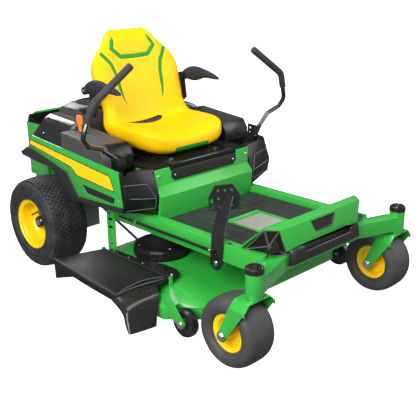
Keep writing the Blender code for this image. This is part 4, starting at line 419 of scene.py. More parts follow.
class Look:
    """A material whose nodes are written as expressions."""

    def __init__(self, name):
        self.material = bpy.data.materials.new(name)
        self.material.use_nodes = True
        self.tree = self.material.node_tree
        self.shader = self.tree.nodes["Principled BSDF"]
        self.place = self.node("ShaderNodeTexCoord", output="Object")

    def node(self, kind, settings=None, inputs=None, output=0):
        """Adds any node: its settings first, then the values or links of its sockets."""
        made = self.tree.nodes.new(kind)
        for key, setting in (settings or {}).items():
            setattr(made, key, setting)
        for key, given in (inputs or {}).items():
            self.feed(made.inputs[key], given)
        return Value(self, made.outputs[output])

    def feed(self, socket, given):
        """Links a value to a socket, or sets the socket."""
        if isinstance(given, Value):
            self.tree.links.new(given.socket, socket)
        elif hasattr(given, "__len__") and len(given) == 3 and len(socket.default_value) == 4:
            socket.default_value = (*given, 1)
        else:
            socket.default_value = given

    def noise(self, scale, detail=3.0, stretch=None):
        """Soft noise from 0 to 1, with its grain stretched along some axes if asked."""
        place = self.place
        if stretch:
            place = self.node("ShaderNodeMapping", None, {"Vector": place, "Scale": stretch})
        return self.node("ShaderNodeTexNoise", None, {"Vector": place, "Scale": scale, "Detail": detail})

    def cells(self, scale):
        """Distance to the nearest edge between small cells, as in leather."""
        settings = {"feature": "DISTANCE_TO_EDGE"}
        return self.node("ShaderNodeTexVoronoi", settings, {"Vector": self.place, "Scale": scale})

    def attribute(self, name):
        """A value that the mesh carries."""
        return self.node("ShaderNodeAttribute", {"attribute_name": name}, None, "Fac")

    def mix(self, first, second, share):
        """A colour between two others."""
        return self.node("ShaderNodeMix", {"data_type": "RGBA"}, {0: share, 6: first, 7: second}, 2)

    def bump(self, height, strength, distance):
        """A normal that follows a height."""
        given = {"Strength": strength, "Distance": distance, "Height": height}
        return self.node("ShaderNodeBump", None, given)

    def finish(self, **sockets):
        """Feeds the Principled shader and hands over the material."""
        for key, given in sockets.items():
            self.feed(self.shader.inputs[key.replace("_", " ").title().replace("Ior", "IOR")], given)
        return self.material


def tinted(base, factor):
    """A colour made lighter or darker."""
    return tuple(min(1.0, c * factor) for c in base)


def gloss_paint(name, base, roughness=0.24, coat=0.55):
    """Sprayed paint: faint orange peel and slow changes of tone."""
    look = Look(name)
    tone = look.noise(5.0, 4.0)
    shade = look.mix(tinted(base, 0.90), tinted(base, 1.10), tone)
    peel = look.noise(420.0, 2.0)
    return look.finish(
        base_color=shade,
        roughness=roughness + 0.05 * tone,
        coat_weight=coat,
        coat_roughness=0.08,
        normal=look.bump(peel, 0.015, 0.0005),
    )


def moulded_plastic(name, base, roughness=0.42, grain=0.16, coat=0.0, shine=0.38):
    """Moulded plastic: a fine spark-eroded grain with tone and shine that drift slowly."""
    look = Look(name)
    drift = look.noise(7.0, 3.0)
    fine = look.noise(1100.0, 2.0)
    shade = look.mix(tinted(base, 0.80), tinted(base, 1.28), drift * 0.7 + fine * 0.3)
    return look.finish(
        base_color=shade,
        roughness=roughness - 0.02 + 0.05 * drift,
        coat_weight=coat,
        coat_roughness=0.18,
        specular_ior_level=shine,
        normal=look.bump(fine, grain, 0.0005),
    )


def tyre_rubber(name, base, clean=0.75, dusty=1.75):
    """Tyre rubber: dull, with a bloom of dust and a fine grit."""
    look = Look(name)
    bloom = look.noise(16.0, 5.0)
    grit = look.noise(520.0, 3.0)
    shade = look.mix(tinted(base, clean), tinted(base, dusty), bloom.step(0.35, 0.75))
    return look.finish(
        base_color=shade,
        roughness=0.52 + 0.22 * bloom,
        normal=look.bump(grit, 0.16, 0.0008),
    )


def ribbed_rubber(name, base):
    """Mat rubber: wiped to a soft shine, with scuffs drawn along the way that feet move."""
    look = Look(name)
    scuff = look.noise(26.0, 4.0, (0.35, 1.6, 1.0))
    fine = look.noise(700.0, 2.0)
    shade = look.mix(tinted(base, 0.75), tinted(base, 1.7), scuff.step(0.4, 0.8))
    return look.finish(
        base_color=shade,
        roughness=0.34 + 0.22 * scuff,
        normal=look.bump(fine, 0.14, 0.0006),
    )


def foam_grip(name, base):
    """Soft grip or pad: a close pebble grain, darker in its lows."""
    look = Look(name)
    pebble = look.cells(620.0)
    tone = look.noise(22.0, 3.0)
    shade = look.mix(tinted(base, 0.72), tinted(base, 1.35), tone * 0.6 + pebble.step(0.0, 0.35) * 0.4)
    return look.finish(
        base_color=shade,
        roughness=0.50 + 0.20 * tone,
        specular_ior_level=0.12,
        normal=look.bump(pebble, 0.22, 0.0009),
    )


def plated_steel(name, base, roughness=0.26):
    """Zinc-plated steel: fine brushed lines with a cloudy plating."""
    look = Look(name)
    cloud = look.noise(60.0, 4.0)
    line = look.noise(240.0, 2.0, (1.0, 1.0, 9.0))
    shade = look.mix(tinted(base, 0.72), tinted(base, 1.22), cloud)
    return look.finish(
        base_color=shade,
        metallic=1.0,
        roughness=roughness + 0.16 * line,
        normal=look.bump(line, 0.06, 0.0004),
    )


def cast_alloy(name, base):
    """Sand-cast alloy: a coarse skin, darker in its pores."""
    look = Look(name)
    pore = look.noise(300.0, 5.0)
    tone = look.noise(24.0, 3.0)
    shade = look.mix(tinted(base, 0.55), tinted(base, 1.25), pore.step(0.25, 0.7))
    return look.finish(
        base_color=shade,
        metallic=0.85,
        roughness=0.46 + 0.20 * tone,
        normal=look.bump(pore, 0.32, 0.0012),
    )


def seat_vinyl(name, base, band):
    """Seat cover: leather-grained vinyl whose bands and painted crease shade come from values that the mesh
    carries.
    """
    look = Look(name)
    cell = look.cells(460.0)
    tone = look.noise(9.0, 3.0)
    body = look.mix(tinted(base, 0.94), tinted(base, 1.05), tone)
    trim = look.mix(tinted(band, 0.62), tinted(band, 0.76), tone)
    green = look.attribute("band")
    crease = look.attribute("crease")
    shade = look.mix(body, trim, green.step(0.42, 0.58))
    # painted shade: the fold between pan and back is darkened to near black where the crease value is high
    shade = look.mix(shade, (0.030, 0.030, 0.030), crease.step(0.42, 0.58))
    return look.finish(
        base_color=shade,
        roughness=0.40 + 0.10 * tone,
        specular_ior_level=0.16,
        normal=look.bump(cell.step(0.0, 0.30), 0.10, 0.0006),
    )


LOOKS = {}


def make_looks(finish):
    """Every finish of the machine, by name."""
    LOOKS.update(
        green=gloss_paint("green_gloss_paint", finish.green),
        green_panel=gloss_paint("green_moulded_panel", finish.green, 0.22, 0.70),
        yellow=gloss_paint("yellow_rim_paint", finish.yellow, 0.38, 0.15),
        stripe=gloss_paint("yellow_stripe_film", finish.yellow, 0.45, 0.05),
        vinyl=seat_vinyl("yellow_seat_vinyl", finish.vinyl, finish.green),
        black=moulded_plastic("black_moulded_plastic", finish.black, 0.36),
        gloss=moulded_plastic("gloss_black_plastic", tinted(finish.black, 0.6), 0.15, 0.004, 0.4),
        console=moulded_plastic("console_plastic", tinted(finish.grey, 1.25), 0.50, 0.30),
        # painted shade: near-black for the insides of slots, holes and pits, and for the shaded places
        # under the seat and in the rear guard
        pit=moulded_plastic("pit_black", tinted(finish.black, 0.3), 0.70, shine=0.15),
        # painted highlights: pale grey plastic for the bright lines along the bumper caps' and corner
        # covers' edges
        rib=moulded_plastic("rib_plastic", tinted(finish.grey, 2.6), 0.30, 0.0, 0.30),
        chute=moulded_plastic("chute_plastic", tinted(finish.black, 0.4), 0.33, 0.0, 0.04, 0.22),
        pale=moulded_plastic("bare_plate", finish.pale, 0.45, 0.03),
        satin_black=moulded_plastic("satin_black_plastic", tinted(finish.black, 0.7), 0.27, 0.004, 0.12),
        paint_black=gloss_paint("black_gloss_paint", finish.gloss_black, 0.20, 0.45),
        green_satin=gloss_paint("green_satin_paint", finish.green, 0.46, 0.12),
        tyre=tyre_rubber("tyre_rubber", finish.rubber),
        # painted light: the caster tyres' rubber is a lighter, lit copy of the tyre rubber
        smooth_tyre=tyre_rubber("smooth_tyre_rubber", tinted(finish.rubber, 2.2), 0.90, 1.10),
        mat=ribbed_rubber("ribbed_mat_rubber", finish.rubber),
        belt=ribbed_rubber("belt_rubber", finish.rubber),
        grip=foam_grip("grip_foam", finish.grey),
        pad=foam_grip("armrest_skin", finish.pad),
        grey=moulded_plastic("grey_engine_plastic", finish.grey, 0.40),
        orange=moulded_plastic("orange_paddle_plastic", finish.orange, 0.34, 0.06, 0.20),
        zinc=plated_steel("plated_steel", finish.zinc),
        dark_steel=plated_steel("dark_steel", tinted(finish.zinc, 0.16), 0.34),
        alloy=cast_alloy("cast_alloy", finish.alloy),
    )


# CAD nodes that stay


def smooth_group():
    """A node group that shades a mesh smooth and keeps edges over an angle sharp."""
    group = bpy.data.node_groups.new("Smooth by angle", "GeometryNodeTree")
    for way in ("INPUT", "OUTPUT"):
        group.interface.new_socket("Geometry", in_out=way, socket_type="NodeSocketGeometry")
    inside = group.nodes.new("NodeGroupInput")
    outside = group.nodes.new("NodeGroupOutput")
    angle = group.nodes.new("GeometryNodeInputMeshEdgeAngle")
    under = group.nodes.new("FunctionNodeCompare")
    under.operation = "LESS_EQUAL"
    under.inputs[1].default_value = math.radians(34)
    faces = group.nodes.new("GeometryNodeSetShadeSmooth")
    edges = group.nodes.new("GeometryNodeSetShadeSmooth")
    edges.domain = "EDGE"
    group.links.new(inside.outputs[0], faces.inputs["Geometry"])
    group.links.new(faces.outputs[0], edges.inputs["Geometry"])
    group.links.new(angle.outputs["Unsigned Angle"], under.inputs[0])
    group.links.new(under.outputs[0], edges.inputs["Shade Smooth"])
    group.links.new(edges.outputs[0], outside.inputs[0])
    return group


def dress(node, look, group, edge, crease):
    """Gives a CAD node its finish, broken edges and smooth rounds; its own mesh stays as it is."""
    obj = frame["nodes"][node]
    obj.data.materials.clear()
    obj.data.materials.append(look)
    weld = obj.modifiers.new("Weld", "WELD")
    weld.merge_threshold = 0.00002
    flat = obj.modifiers.new("Flat", "DECIMATE")
    flat.decimate_type = "DISSOLVE"
    flat.angle_limit = math.radians(0.3)
    softened(obj, edge, crease)
    rounds = obj.modifiers.new("Rounds", "NODES")
    rounds.node_group = group


FINISH_OF_SLOT = {
    "green_paint": "green",
    "green_plastic": "green_panel",
    "yellow_paint": "yellow",
    "yellow_vinyl": "vinyl",
    "armrest_vinyl": "pad",
    "black_plastic": "black",
    "grey_plastic": "grey",
    "orange_plastic": "orange",
    "black_paint": "paint_black",
    "black_rubber": "mat",
    "grip_rubber": "grip",
    "belt_rubber": "belt",
    "tyre_rubber": "tyre",
    "cast_alloy": "alloy",
    "steel": "dark_steel",
}
EDGE_WIDTHS = {"black_plastic": 0.0022, "green_plastic": 0.0012, "green_paint": 0.0014}
PLAIN_EDGE = 0.0008
PLAIN_CREASE = 32.0
FACETED = {
    "right_corner_cover": (0.0034, 8.0),
    "left_corner_cover": (0.0034, 8.0),
    "seat_tower": (0.0040, 8.0),
    "front_cover": (0.0040, 8.0),
    "front_handle": (0.0050, 12.0),
    "bumper_caps": (0.0020, 8.0),
}
FINISH_OF_NODE = {
    "right_corner_cover": "chute",
    "left_corner_cover": "chute",
    "bumper_caps": "satin_black",
    "seat_tower": "green_satin",
}


class MOWER_OT_finishes(bpy.types.Operator):
    """Makes every finish and dresses the CAD nodes with it"""

    bl_idname = "mower.finishes"
    bl_label = "Finishes"

    def execute(self, context):
        make_looks(context.scene.mower_finish)
        group = smooth_group()
        for part in frame["record"]["subparts"]:
            node, slot = part["node"], part["material_slot"]
            plain = (EDGE_WIDTHS.get(slot, PLAIN_EDGE), PLAIN_CREASE)
            look = LOOKS[FINISH_OF_NODE.get(node, FINISH_OF_SLOT[slot])]
            dress(node, look, group, *FACETED.get(node, plain))
        return {"FINISHED"}


# Wheels


def both_flanks(half):
    """A profile of (radius, offset) pairs from the middle out, with its mirror image before it."""
    half = np.asarray(half, float)
    return np.concatenate([half[::-1] * (1, -1), half])


REAR_TREAD_HALF = 0.084
REAR_TREAD_COLUMNS = 11
REAR_CROWN_DROP = 0.009
BLOCK_SHARES = np.array([0.06, 0.11, 0.89, 0.94])
ROW_SHARES = np.array([0.07, 0.12, 0.38, 0.43, 0.57, 0.62, 0.88, 0.93])
SHOULDER_LUGS = (0.0045, 0.0035)
REAR_FLANK = [
    (0.2105, 0.0890),
    (0.2085, 0.0945),
    (0.2000, 0.1000),
    (0.1945, 0.1022),
    (0.1930, 0.1005),
    (0.1890, 0.1005),
    (0.1875, 0.1030),
    (0.1720, 0.1055),
    (0.1560, 0.1050),
    (0.1475, 0.1035),
    (0.1460, 0.1016),
    (0.1430, 0.1012),
    (0.1415, 0.1020),
    (0.1330, 0.0985),
    (0.1275, 0.0945),
    (0.1250, 0.0885),
    (0.1140, 0.0780),
    (0.1110, 0.0600),
]


def tread_columns():
    """Offsets across the tread, four to a column of blocks, and the column that each belongs to."""
    pitch = 2 * REAR_TREAD_HALF / REAR_TREAD_COLUMNS
    column = np.repeat(np.arange(REAR_TREAD_COLUMNS), len(BLOCK_SHARES))
    share = np.tile(BLOCK_SHARES, REAR_TREAD_COLUMNS)
    return -REAR_TREAD_HALF + (column + share) * pitch, column, share


def rear_tyre_grid(centre, radius, depth, rows):
    """Grid of a turf tyre: r(a, y) = crown(y) + depth x block(a, y), flanks turned from a profile.

    A block stands where both its row share and its column share are inside the block; every other
    column is half a row further round.
    """
    across_tread, column, share = tread_columns()
    crown = radius - depth - REAR_CROWN_DROP * (across_tread / REAR_TREAD_HALF) ** 2
    turn = (np.arange(rows)[:, None] + ROW_SHARES).ravel() / rows
    in_column = (share > BLOCK_SHARES[0]) & (share < BLOCK_SHARES[-1])
    row_share = (turn[None] * rows + 0.5 * (column[:, None] % 2)) % 1
    in_row = (row_share > 0.10) & (row_share < 0.90)
    tread = crown[:, None] + depth * (in_column[:, None] & in_row)
    flank = np.asarray(REAR_FLANK)
    lug_height = np.array([*SHOULDER_LUGS, *np.zeros(len(flank) - len(SHOULDER_LUGS))])
    lug = (np.abs(turn * rows % 1 - 0.5) < 0.40)[None] * lug_height[:, None]
    sides = flank[:, :1] + lug
    radii = np.concatenate([sides[::-1], tread, sides])
    offsets = np.concatenate([-flank[::-1, 1], across_tread, flank[:, 1]])
    angle = 2 * np.pi * turn
    offsets = np.broadcast_to(offsets[:, None], radii.shape)
    return np.stack([radii * np.cos(angle), offsets, radii * np.sin(angle)], -1) + centre


REAR_RIM = [
    (0.0340, 0.0220),
    (0.0560, 0.0220),
    (0.0660, 0.0190),
    (0.0830, 0.0190),
    (0.0930, 0.0240),
    (0.0990, 0.0360),
    (0.1020, 0.0600),
    (0.1035, 0.0780),
    (0.1080, 0.0850),
    (0.1170, 0.0865),
    (0.1225, 0.0890),
    (0.1245, 0.0935),
    (0.1262, 0.0945),
    (0.1272, 0.0925),
    (0.1255, 0.0880),
    (0.1190, 0.0845),
    (0.1110, 0.0825),
    (0.1075, 0.0760),
    (0.1065, 0.0400),
    (0.1065, -0.0760),
    (0.1110, -0.0825),
    (0.1255, -0.0880),
    (0.1272, -0.0925),
    (0.1245, -0.0935),
    (0.1170, -0.0865),
    (0.1060, -0.0800),
    (0.1020, -0.0600),
    (0.1000, 0.0000),
    (0.0920, 0.0140),
    (0.0660, 0.0150),
    (0.0340, 0.0170),
]
REAR_HUB = [
    (0.0000, -0.1205),
    (0.0300, -0.1205),
    (0.0300, 0.0100),
    (0.0480, 0.0140),
    (0.0480, 0.0260),
    (0.0340, 0.0300),
    (0.0300, 0.0340),
    (0.0300, 0.0520),
    (0.0270, 0.0560),
    (0.0160, 0.0560),
    (0.0150, 0.0530),
    (0.0000, 0.0530),
]
LUG_CIRCLE = 0.0560
VALVE_CIRCLE = 0.0780


def rear_wheel(name, side, settings):
    """One drive wheel: treaded tyre, dished rim, hub, wheel bolts and valve."""
    body = name + "_rear_wheel"
    centre = pivot(name + "_wheel_spin")
    low, high = corners(name + "_rear_tyre")
    out = np.array([0, side, 0])
    radius = (high[2] - low[2]) / 2
    tyre = Shape().grid(
        rear_tyre_grid(centre, radius, settings.tread_depth, settings.tread_rows), True, True
    )
    piece(name + "_turf_tyre", tyre, LOOKS["tyre"], body, [name + "_rear_tyre"], 28)
    rim = Shape().grid(turned(REAR_RIM, centre, out, 96), True, True)
    piece(name + "_dished_rim", rim, LOOKS["yellow"], body, [name + "_rear_rim"], 40)
    hub = Shape().turn(REAR_HUB, centre, out, 40)
    piece(name + "_wheel_hub", hub, LOOKS["paint_black"], body)
    bolts = Shape()
    turns = np.pi / 4 + np.arange(settings.bolts) * 2 * np.pi / settings.bolts
    for turn in turns:
        spoke = np.array([math.cos(turn), 0, math.sin(turn)])
        bolts.bolt(centre + LUG_CIRCLE * spoke + 0.0200 * out, out, 0.0095, 0.014)
    bolts.bolt(centre + 0.0530 * out, out, 0.0110, 0.010)
    piece(name + "_wheel_bolts", bolts, LOOKS["zinc"], body)
    spoke = np.array([-math.cos(0.35), 0, math.sin(0.35)])
    stem = [(0, -0.002), (0.0050, -0.002), (0.0050, 0.006), (0.0036, 0.010), (0.0036, 0.024)]
    stem += [(0.0046, 0.025), (0.0046, 0.034), (0.0030, 0.0365), (0, 0.0365)]
    lean = unit(out - 0.35 * spoke)
    valve = Shape().turn(stem, centre + VALVE_CIRCLE * spoke + 0.019 * out, lean, 16)
    piece(name + "_valve_stem", valve, LOOKS["satin_black"], body)


CASTER_TYRE_HALF = [
    (0.1444, 0.0000),
    (0.1440, 0.0200),
    (0.1428, 0.0380),
    (0.1395, 0.0520),
    (0.1340, 0.0625),
    (0.1268, 0.0700),
    (0.1180, 0.0740),
    (0.1080, 0.0748),
    (0.1020, 0.0742),
    (0.1010, 0.0728),
    (0.0990, 0.0728),
    (0.0980, 0.0736),
    (0.0900, 0.0705),
    (0.0840, 0.0655),
    (0.0805, 0.0590),
    (0.0790, 0.0520),
    (0.0745, 0.0455),
    (0.0680, 0.0420),
    (0.0655, 0.0300),
]
CASTER_RIM = [
    (0.0235, 0.0190),
    (0.0380, 0.0190),
    (0.0480, 0.0200),
    (0.0560, 0.0260),
    (0.0590, 0.0400),
    (0.0610, 0.0455),
    (0.0700, 0.0485),
    (0.0755, 0.0512),
    (0.0780, 0.0518),
    (0.0788, 0.0500),
    (0.0770, 0.0470),
    (0.0680, 0.0410),
    (0.0635, 0.0380),
    (0.0630, 0.0000),
]
CASTER_HUB_R = 0.0240
CASTER_HUB_HALF = 0.0795


def caster_wheel(name):
    """One caster wheel: smooth balloon tyre, pressed rim and hub sleeve."""
    body = name + "_caster_wheel"
    centre = pivot(name + "_caster_spin")
    tyre = Shape().grid(turned(both_flanks(CASTER_TYRE_HALF), centre, Y, 96), True, True)
    # painted light: the balloon tyre takes the lighter, lit copy of the tyre rubber
    look = LOOKS["smooth_tyre"]
    piece(name + "_balloon_tyre", tyre, look, body, [name + "_caster_tyre"], 40)
    rim = np.asarray(CASTER_RIM)
    ring = np.concatenate([rim, rim[::-1] * (1, -1)])
    pressed = Shape().grid(turned(ring, centre, Y, 72), True, True)
    hub = [(0.0100, -CASTER_HUB_HALF), (CASTER_HUB_R - 0.002, -CASTER_HUB_HALF)]
    hub += [(CASTER_HUB_R, 0.002 - CASTER_HUB_HALF), (CASTER_HUB_R, CASTER_HUB_HALF - 0.002)]
    hub += [(CASTER_HUB_R - 0.002, CASTER_HUB_HALF), (0.0100, CASTER_HUB_HALF)]
    pressed.grid(turned(hub, centre, Y, 40), True, True)
    piece(name + "_pressed_rim", pressed, LOOKS["yellow"], body, [name + "_caster_rim"], 40)


CAP_SHARES = [
    (0.00, -0.20),
    (1.00, -0.20),
    (1.00, 0.62),
    (0.96, 0.86),
    (0.88, 0.94),
    (0.74, 0.94),
    (0.72, 0.76),
    (0.62, 0.76),
    (0.60, 0.92),
    (0.44, 0.92),
    (0.42, 0.74),
    (0.30, 0.74),
    (0.28, 1.00),
    (0.08, 1.00),
    (0.00, 0.92),
]


def caster_cap(name):
    """A dust cap of rings on the caster's post, with a few bright rivets round its rim."""
    low, high = corners(name + "_caster_cap")
    centre = (low + high) / 2 * (1, 1, 0) + low * (0, 0, 1)
    radius, height = (high[0] - low[0]) / 2, high[2] - low[2]
    profile = np.maximum(np.asarray(CAP_SHARES) * (radius, height), (0, 0.0002))
    cap = Shape().turn(profile, centre, Z, 48)
    look = LOOKS["satin_black"]
    piece(name + "_ringed_cap", cap, look, "frame", [name + "_caster_cap"], 40)
    rivets = Shape()
    for turn in np.arange(3) * 2 * np.pi / 3 + 0.4:
        spoke = np.array([math.cos(turn), math.sin(turn), 0])
        rivets.button(centre + spoke * radius * 0.81 + Z * height * 0.93, Z, 0.0030, 0.0014)
    piece(name + "_cap_rivets", rivets, LOOKS["zinc"], "frame")


SCALP_SHARES = [
    (0.16, -1.00),
    (0.40, -1.00),
    (0.46, -0.55),
    (0.78, -0.55),
    (0.84, -0.96),
    (0.93, -0.90),
    (1.00, -0.45),
    (1.00, 0.45),
    (0.93, 0.90),
    (0.84, 0.96),
    (0.78, 0.55),
    (0.46, 0.55),
    (0.40, 1.00),
    (0.16, 1.00),
]


def scalp_wheel(name):
    """An anti-scalp roller with a recessed web."""
    low, high = corners(name + "_scalp_wheel")
    radius, half = (high[2] - low[2]) / 2, (high[1] - low[1]) / 2
    centre = (low + high) / 2
    roller = Shape().grid(turned(np.asarray(SCALP_SHARES) * (radius, half), centre, Y, 56), True, True)
    look, body = LOOKS["satin_black"], name + "_scalp"
    piece(name + "_roller", roller, look, body, [name + "_scalp_wheel"], 40)


class MOWER_OT_wheels(bpy.types.Operator):
    """Builds the tyres, rims, hubs, caps and rollers"""

    bl_idname = "mower.wheels"
    bl_label = "Wheels"

    def execute(self, context):
        for name, side in SIDES:
            rear_wheel(name, side, context.scene.mower_wheels)
            caster_wheel(name)
            caster_cap(name)
            scalp_wheel(name)
        return {"FINISHED"}


# Seat

SEAT_FRONT_X = 0.640
SEAT_SPINE_Z = 0.671
SEAT_PAN_LENGTH = 0.303
SEAT_FOLD_R = 0.085
SEAT_FOLD = math.pi / 2 - math.radians(16.5)
SEAT_BASE_Z = 0.6225
HEAD_BAND = [(0.301, 0.000), (0.303, 0.084), (0.346, 0.131), (0.405, 0.104)]
SIDE_BAND = [(0.325, 0.195), (0.270, 0.153), (0.215, 0.137), (0.145, 0.131), (0.095, 0.122), (0.068, 0.106)]
# The crease where the pan meets the back: sunk a little, and darkened as painted shade
SHADED_CREASE_MIDDLE_Y = -0.080
SHADED_CREASE_LOW_S = 0.309
SHADED_CREASE_CURVE = 1.8
SHADED_CREASE_FROM_Y = -0.225
SHADED_CREASE_TO_Y = 0.082
SHADED_CREASE_HALF = 0.046
SHADED_CREASE_DEPTH = 0.007
SEAT_WIDTHS = ((0.075, 0.285, 0.075), (-0.045, 0.055, 0.040), (-0.030, 0.380, 0.030))
PANEL_TOP_Z = 0.657
PANEL_HALF = 0.103
SEAM_WIDTH = 0.004


def spine_values(points):
    """Where points lie on the seat: s along its spine, h up its back, n above the spine.

    The spine runs back along the pan, turns up round an arc and runs on up the reclined back; the
    angle round the arc's centre says which of the three a point belongs to.
    """
    rx = points[:, 0] - (SEAT_FRONT_X - SEAT_PAN_LENGTH)
    rz = points[:, 2] - (SEAT_SPINE_Z + SEAT_FOLD_R)
    turn = np.arctan2(-rx, -rz)
    turn = np.where(turn < -np.pi / 2, np.pi, turn)
    up_back = -math.cos(SEAT_FOLD) * rx + math.sin(SEAT_FOLD) * rz
    before_back = math.sin(SEAT_FOLD) * rx + math.cos(SEAT_FOLD) * rz + SEAT_FOLD_R
    on_pan, on_back = turn <= 0, turn >= SEAT_FOLD
    round_fold = SEAT_PAN_LENGTH + SEAT_FOLD_R * np.clip(turn, 0, SEAT_FOLD)
    s = np.where(on_pan, SEAT_FRONT_X - points[:, 0], round_fold)
    h = np.where(on_back, up_back, 0.0)
    n = np.where(on_pan, points[:, 2] - SEAT_SPINE_Z, SEAT_FOLD_R - np.hypot(rx, rz))
    return s + h, h, np.where(on_back, before_back, n)


def path_distance(places, path):
    """Least distance from flat points to a line through a few others, and the share along it."""
    path = np.asarray(path, float)
    a, b = path[:-1], path[1:]
    along = b - a
    t = np.clip(np.sum((places[:, None] - a) * along, -1) / np.sum(along**2, -1), 0, 1)
    away = np.linalg.norm(places[:, None] - (a + t[..., None] * along), axis=-1)
    nearest = away.argmin(1)
    rows = np.arange(len(places))
    return away[rows, nearest], (nearest + t[rows, nearest]) / len(a)


def rise(value, width):
    """0 below zero, 1 above width, straight between, centred on zero."""
    return np.clip(value / width + 0.5, 0, 1)


def sewn(distance):
    """1 on a seam and nearly 0 a few millimetres away: exp(-(d / w)^2)."""
    return np.exp(-((distance / SEAM_WIDTH) ** 2))


def seat_marks(points, normals, settings):
    """The band, crease and seam values of each point of the seat cover; the crease value marks the painted
    shade in the fold.
    """
    s, h, n = spine_values(points)
    y = points[:, 1]
    back = (n > 0.010) & (h > 0.02) & (normals[:, 0] > -0.3)
    places = np.stack([h, np.abs(y)], -1)
    head, head_share = path_distance(places, HEAD_BAND)
    flank, flank_share = path_distance(places, SIDE_BAND)
    head_half = settings.band / 2 * np.clip((1.02 - head_share) / 0.16, 0, 1)
    flank_half = settings.band * 0.46 * np.clip((1.0 - flank_share) / 0.45, 0, 1)
    edge = settings.voxel * 0.5
    band = np.maximum(rise(head_half - head, edge), rise(flank_half - flank, edge)) * back
    seam = np.maximum(sewn(head - head_half), sewn(flank - flank_half))
    low_front = (s < 0.05) & (n > -0.048)
    slope = PANEL_HALF + 0.35 * (PANEL_TOP_Z - points[:, 2])
    panel = rise(PANEL_TOP_Z - points[:, 2], edge) * rise(slope - np.abs(y), edge) * low_front
    # painted shade: a band along the fold, widening from the right and ending bluntly, that the cover's
    # shader darkens
    middle = SHADED_CREASE_LOW_S + SHADED_CREASE_CURVE * (y - SHADED_CREASE_MIDDLE_Y) ** 2
    grow = np.clip((y - SHADED_CREASE_FROM_Y) / 0.19, 0, 1) ** 0.9
    blunt = np.sqrt(np.clip((SHADED_CREASE_TO_Y - y) / 0.020, 0, 1))
    crease = rise(SHADED_CREASE_HALF * grow * blunt - np.abs(s - middle), edge) * (n > 0) * (y > SHADED_CREASE_FROM_Y)
    return np.maximum(band, panel), crease, seam * back


def merged_copy(node, name):
    """A new object with a copy of a CAD node's mesh, its loose triangles joined."""
    mesh = frame["nodes"][node].data.copy()
    mesh.name = name
    bm = bmesh.new()
    bm.from_mesh(mesh)
    bmesh.ops.remove_doubles(bm, verts=bm.verts, dist=1e-5)
    bm.to_mesh(mesh)
    bm.free()
    obj = bpy.data.objects.new(name, mesh)
    bpy.context.scene.collection.objects.link(obj)
    return obj


def points_of(mesh):
    """A mesh's points as an array."""
    flat = np.empty(len(mesh.vertices) * 3, np.float32)
    mesh.vertices.foreach_get("co", flat)
    return flat.reshape(-1, 3).astype(float)


def normals_of(mesh):
    """A mesh's vertex normals as an array."""
    flat = np.empty(len(mesh.vertices) * 3, np.float32)
    mesh.vertex_normals.foreach_get("vector", flat)
    return flat.reshape(-1, 3).astype(float)


def set_points(mesh, points):
    """Moves a mesh's points."""
    mesh.vertices.foreach_set("co", points.astype(np.float32).ravel())
    mesh.update()


def applied(obj):
    """Replaces an object's mesh by what its modifiers make of it."""
    graph = bpy.context.evaluated_depsgraph_get()
    mesh = bpy.data.meshes.new_from_object(obj.evaluated_get(graph))
    obj.modifiers.clear()
    obj.data = mesh


def remeshed(obj, settings):
    """Draws an object in a little, and gives it an even mesh that is smoothed of its steps."""
    set_points(obj.data, points_of(obj.data) - settings.shrink * normals_of(obj.data))
    grain = obj.modifiers.new("Grain", "REMESH")
    grain.mode = "VOXEL"
    grain.voxel_size = settings.voxel
    smooth = obj.modifiers.new("Smooth", "SMOOTH")
    smooth.factor = 0.5
    smooth.iterations = 8
    applied(obj)


def evened(values, mesh, rounds):
    """Values of a mesh's points, each drawn half-way to its neighbours' mean a few times."""
    pairs = np.empty(len(mesh.edges) * 2, np.int32)
    mesh.edges.foreach_get("vertices", pairs)
    first, second = pairs.reshape(-1, 2).T
    count = np.bincount(pairs, minlength=len(values))
    for _ in range(rounds):
        total = np.bincount(first, values[second], len(values))
        total = total + np.bincount(second, values[first], len(values))
        values = (values + total / count) / 2
    return values


def inflated(obj, settings):
    """Swells an object's cover by cloth under pressure, held to a furthest value and evened."""
    rest, normals = points_of(obj.data), normals_of(obj.data)
    cloth = obj.modifiers.new("Cover", "CLOTH").settings
    cloth.quality = 3
    cloth.mass = 0.3
    cloth.use_pressure = True
    cloth.uniform_pressure_force = 4.0
    cloth.effector_weights.gravity = 0.0
    scene = bpy.context.scene
    for step in range(1, 21):
        scene.frame_set(step)
    graph = bpy.context.evaluated_depsgraph_get()
    moved = points_of(obj.evaluated_get(graph).to_mesh()) - rest
    swell = np.sum((moved - moved.mean(0)) * normals, axis=1)
    swell = evened(np.clip(swell, 0, settings.swell), obj.data, 24)
    obj.modifiers.clear()
    scene.frame_set(1)
    set_points(obj.data, rest + swell[:, None] * normals)


def seat_outline(points):
    """Widens the cover at the shoulders and draws it in at the waist and under the head."""
    _, h, _ = spine_values(points)
    points = points.copy()
    for share, middle, width in SEAT_WIDTHS:
        points[:, 1] *= 1 + share * np.exp(-(((h - middle) / width) ** 2)) * (h > 0)
    return points


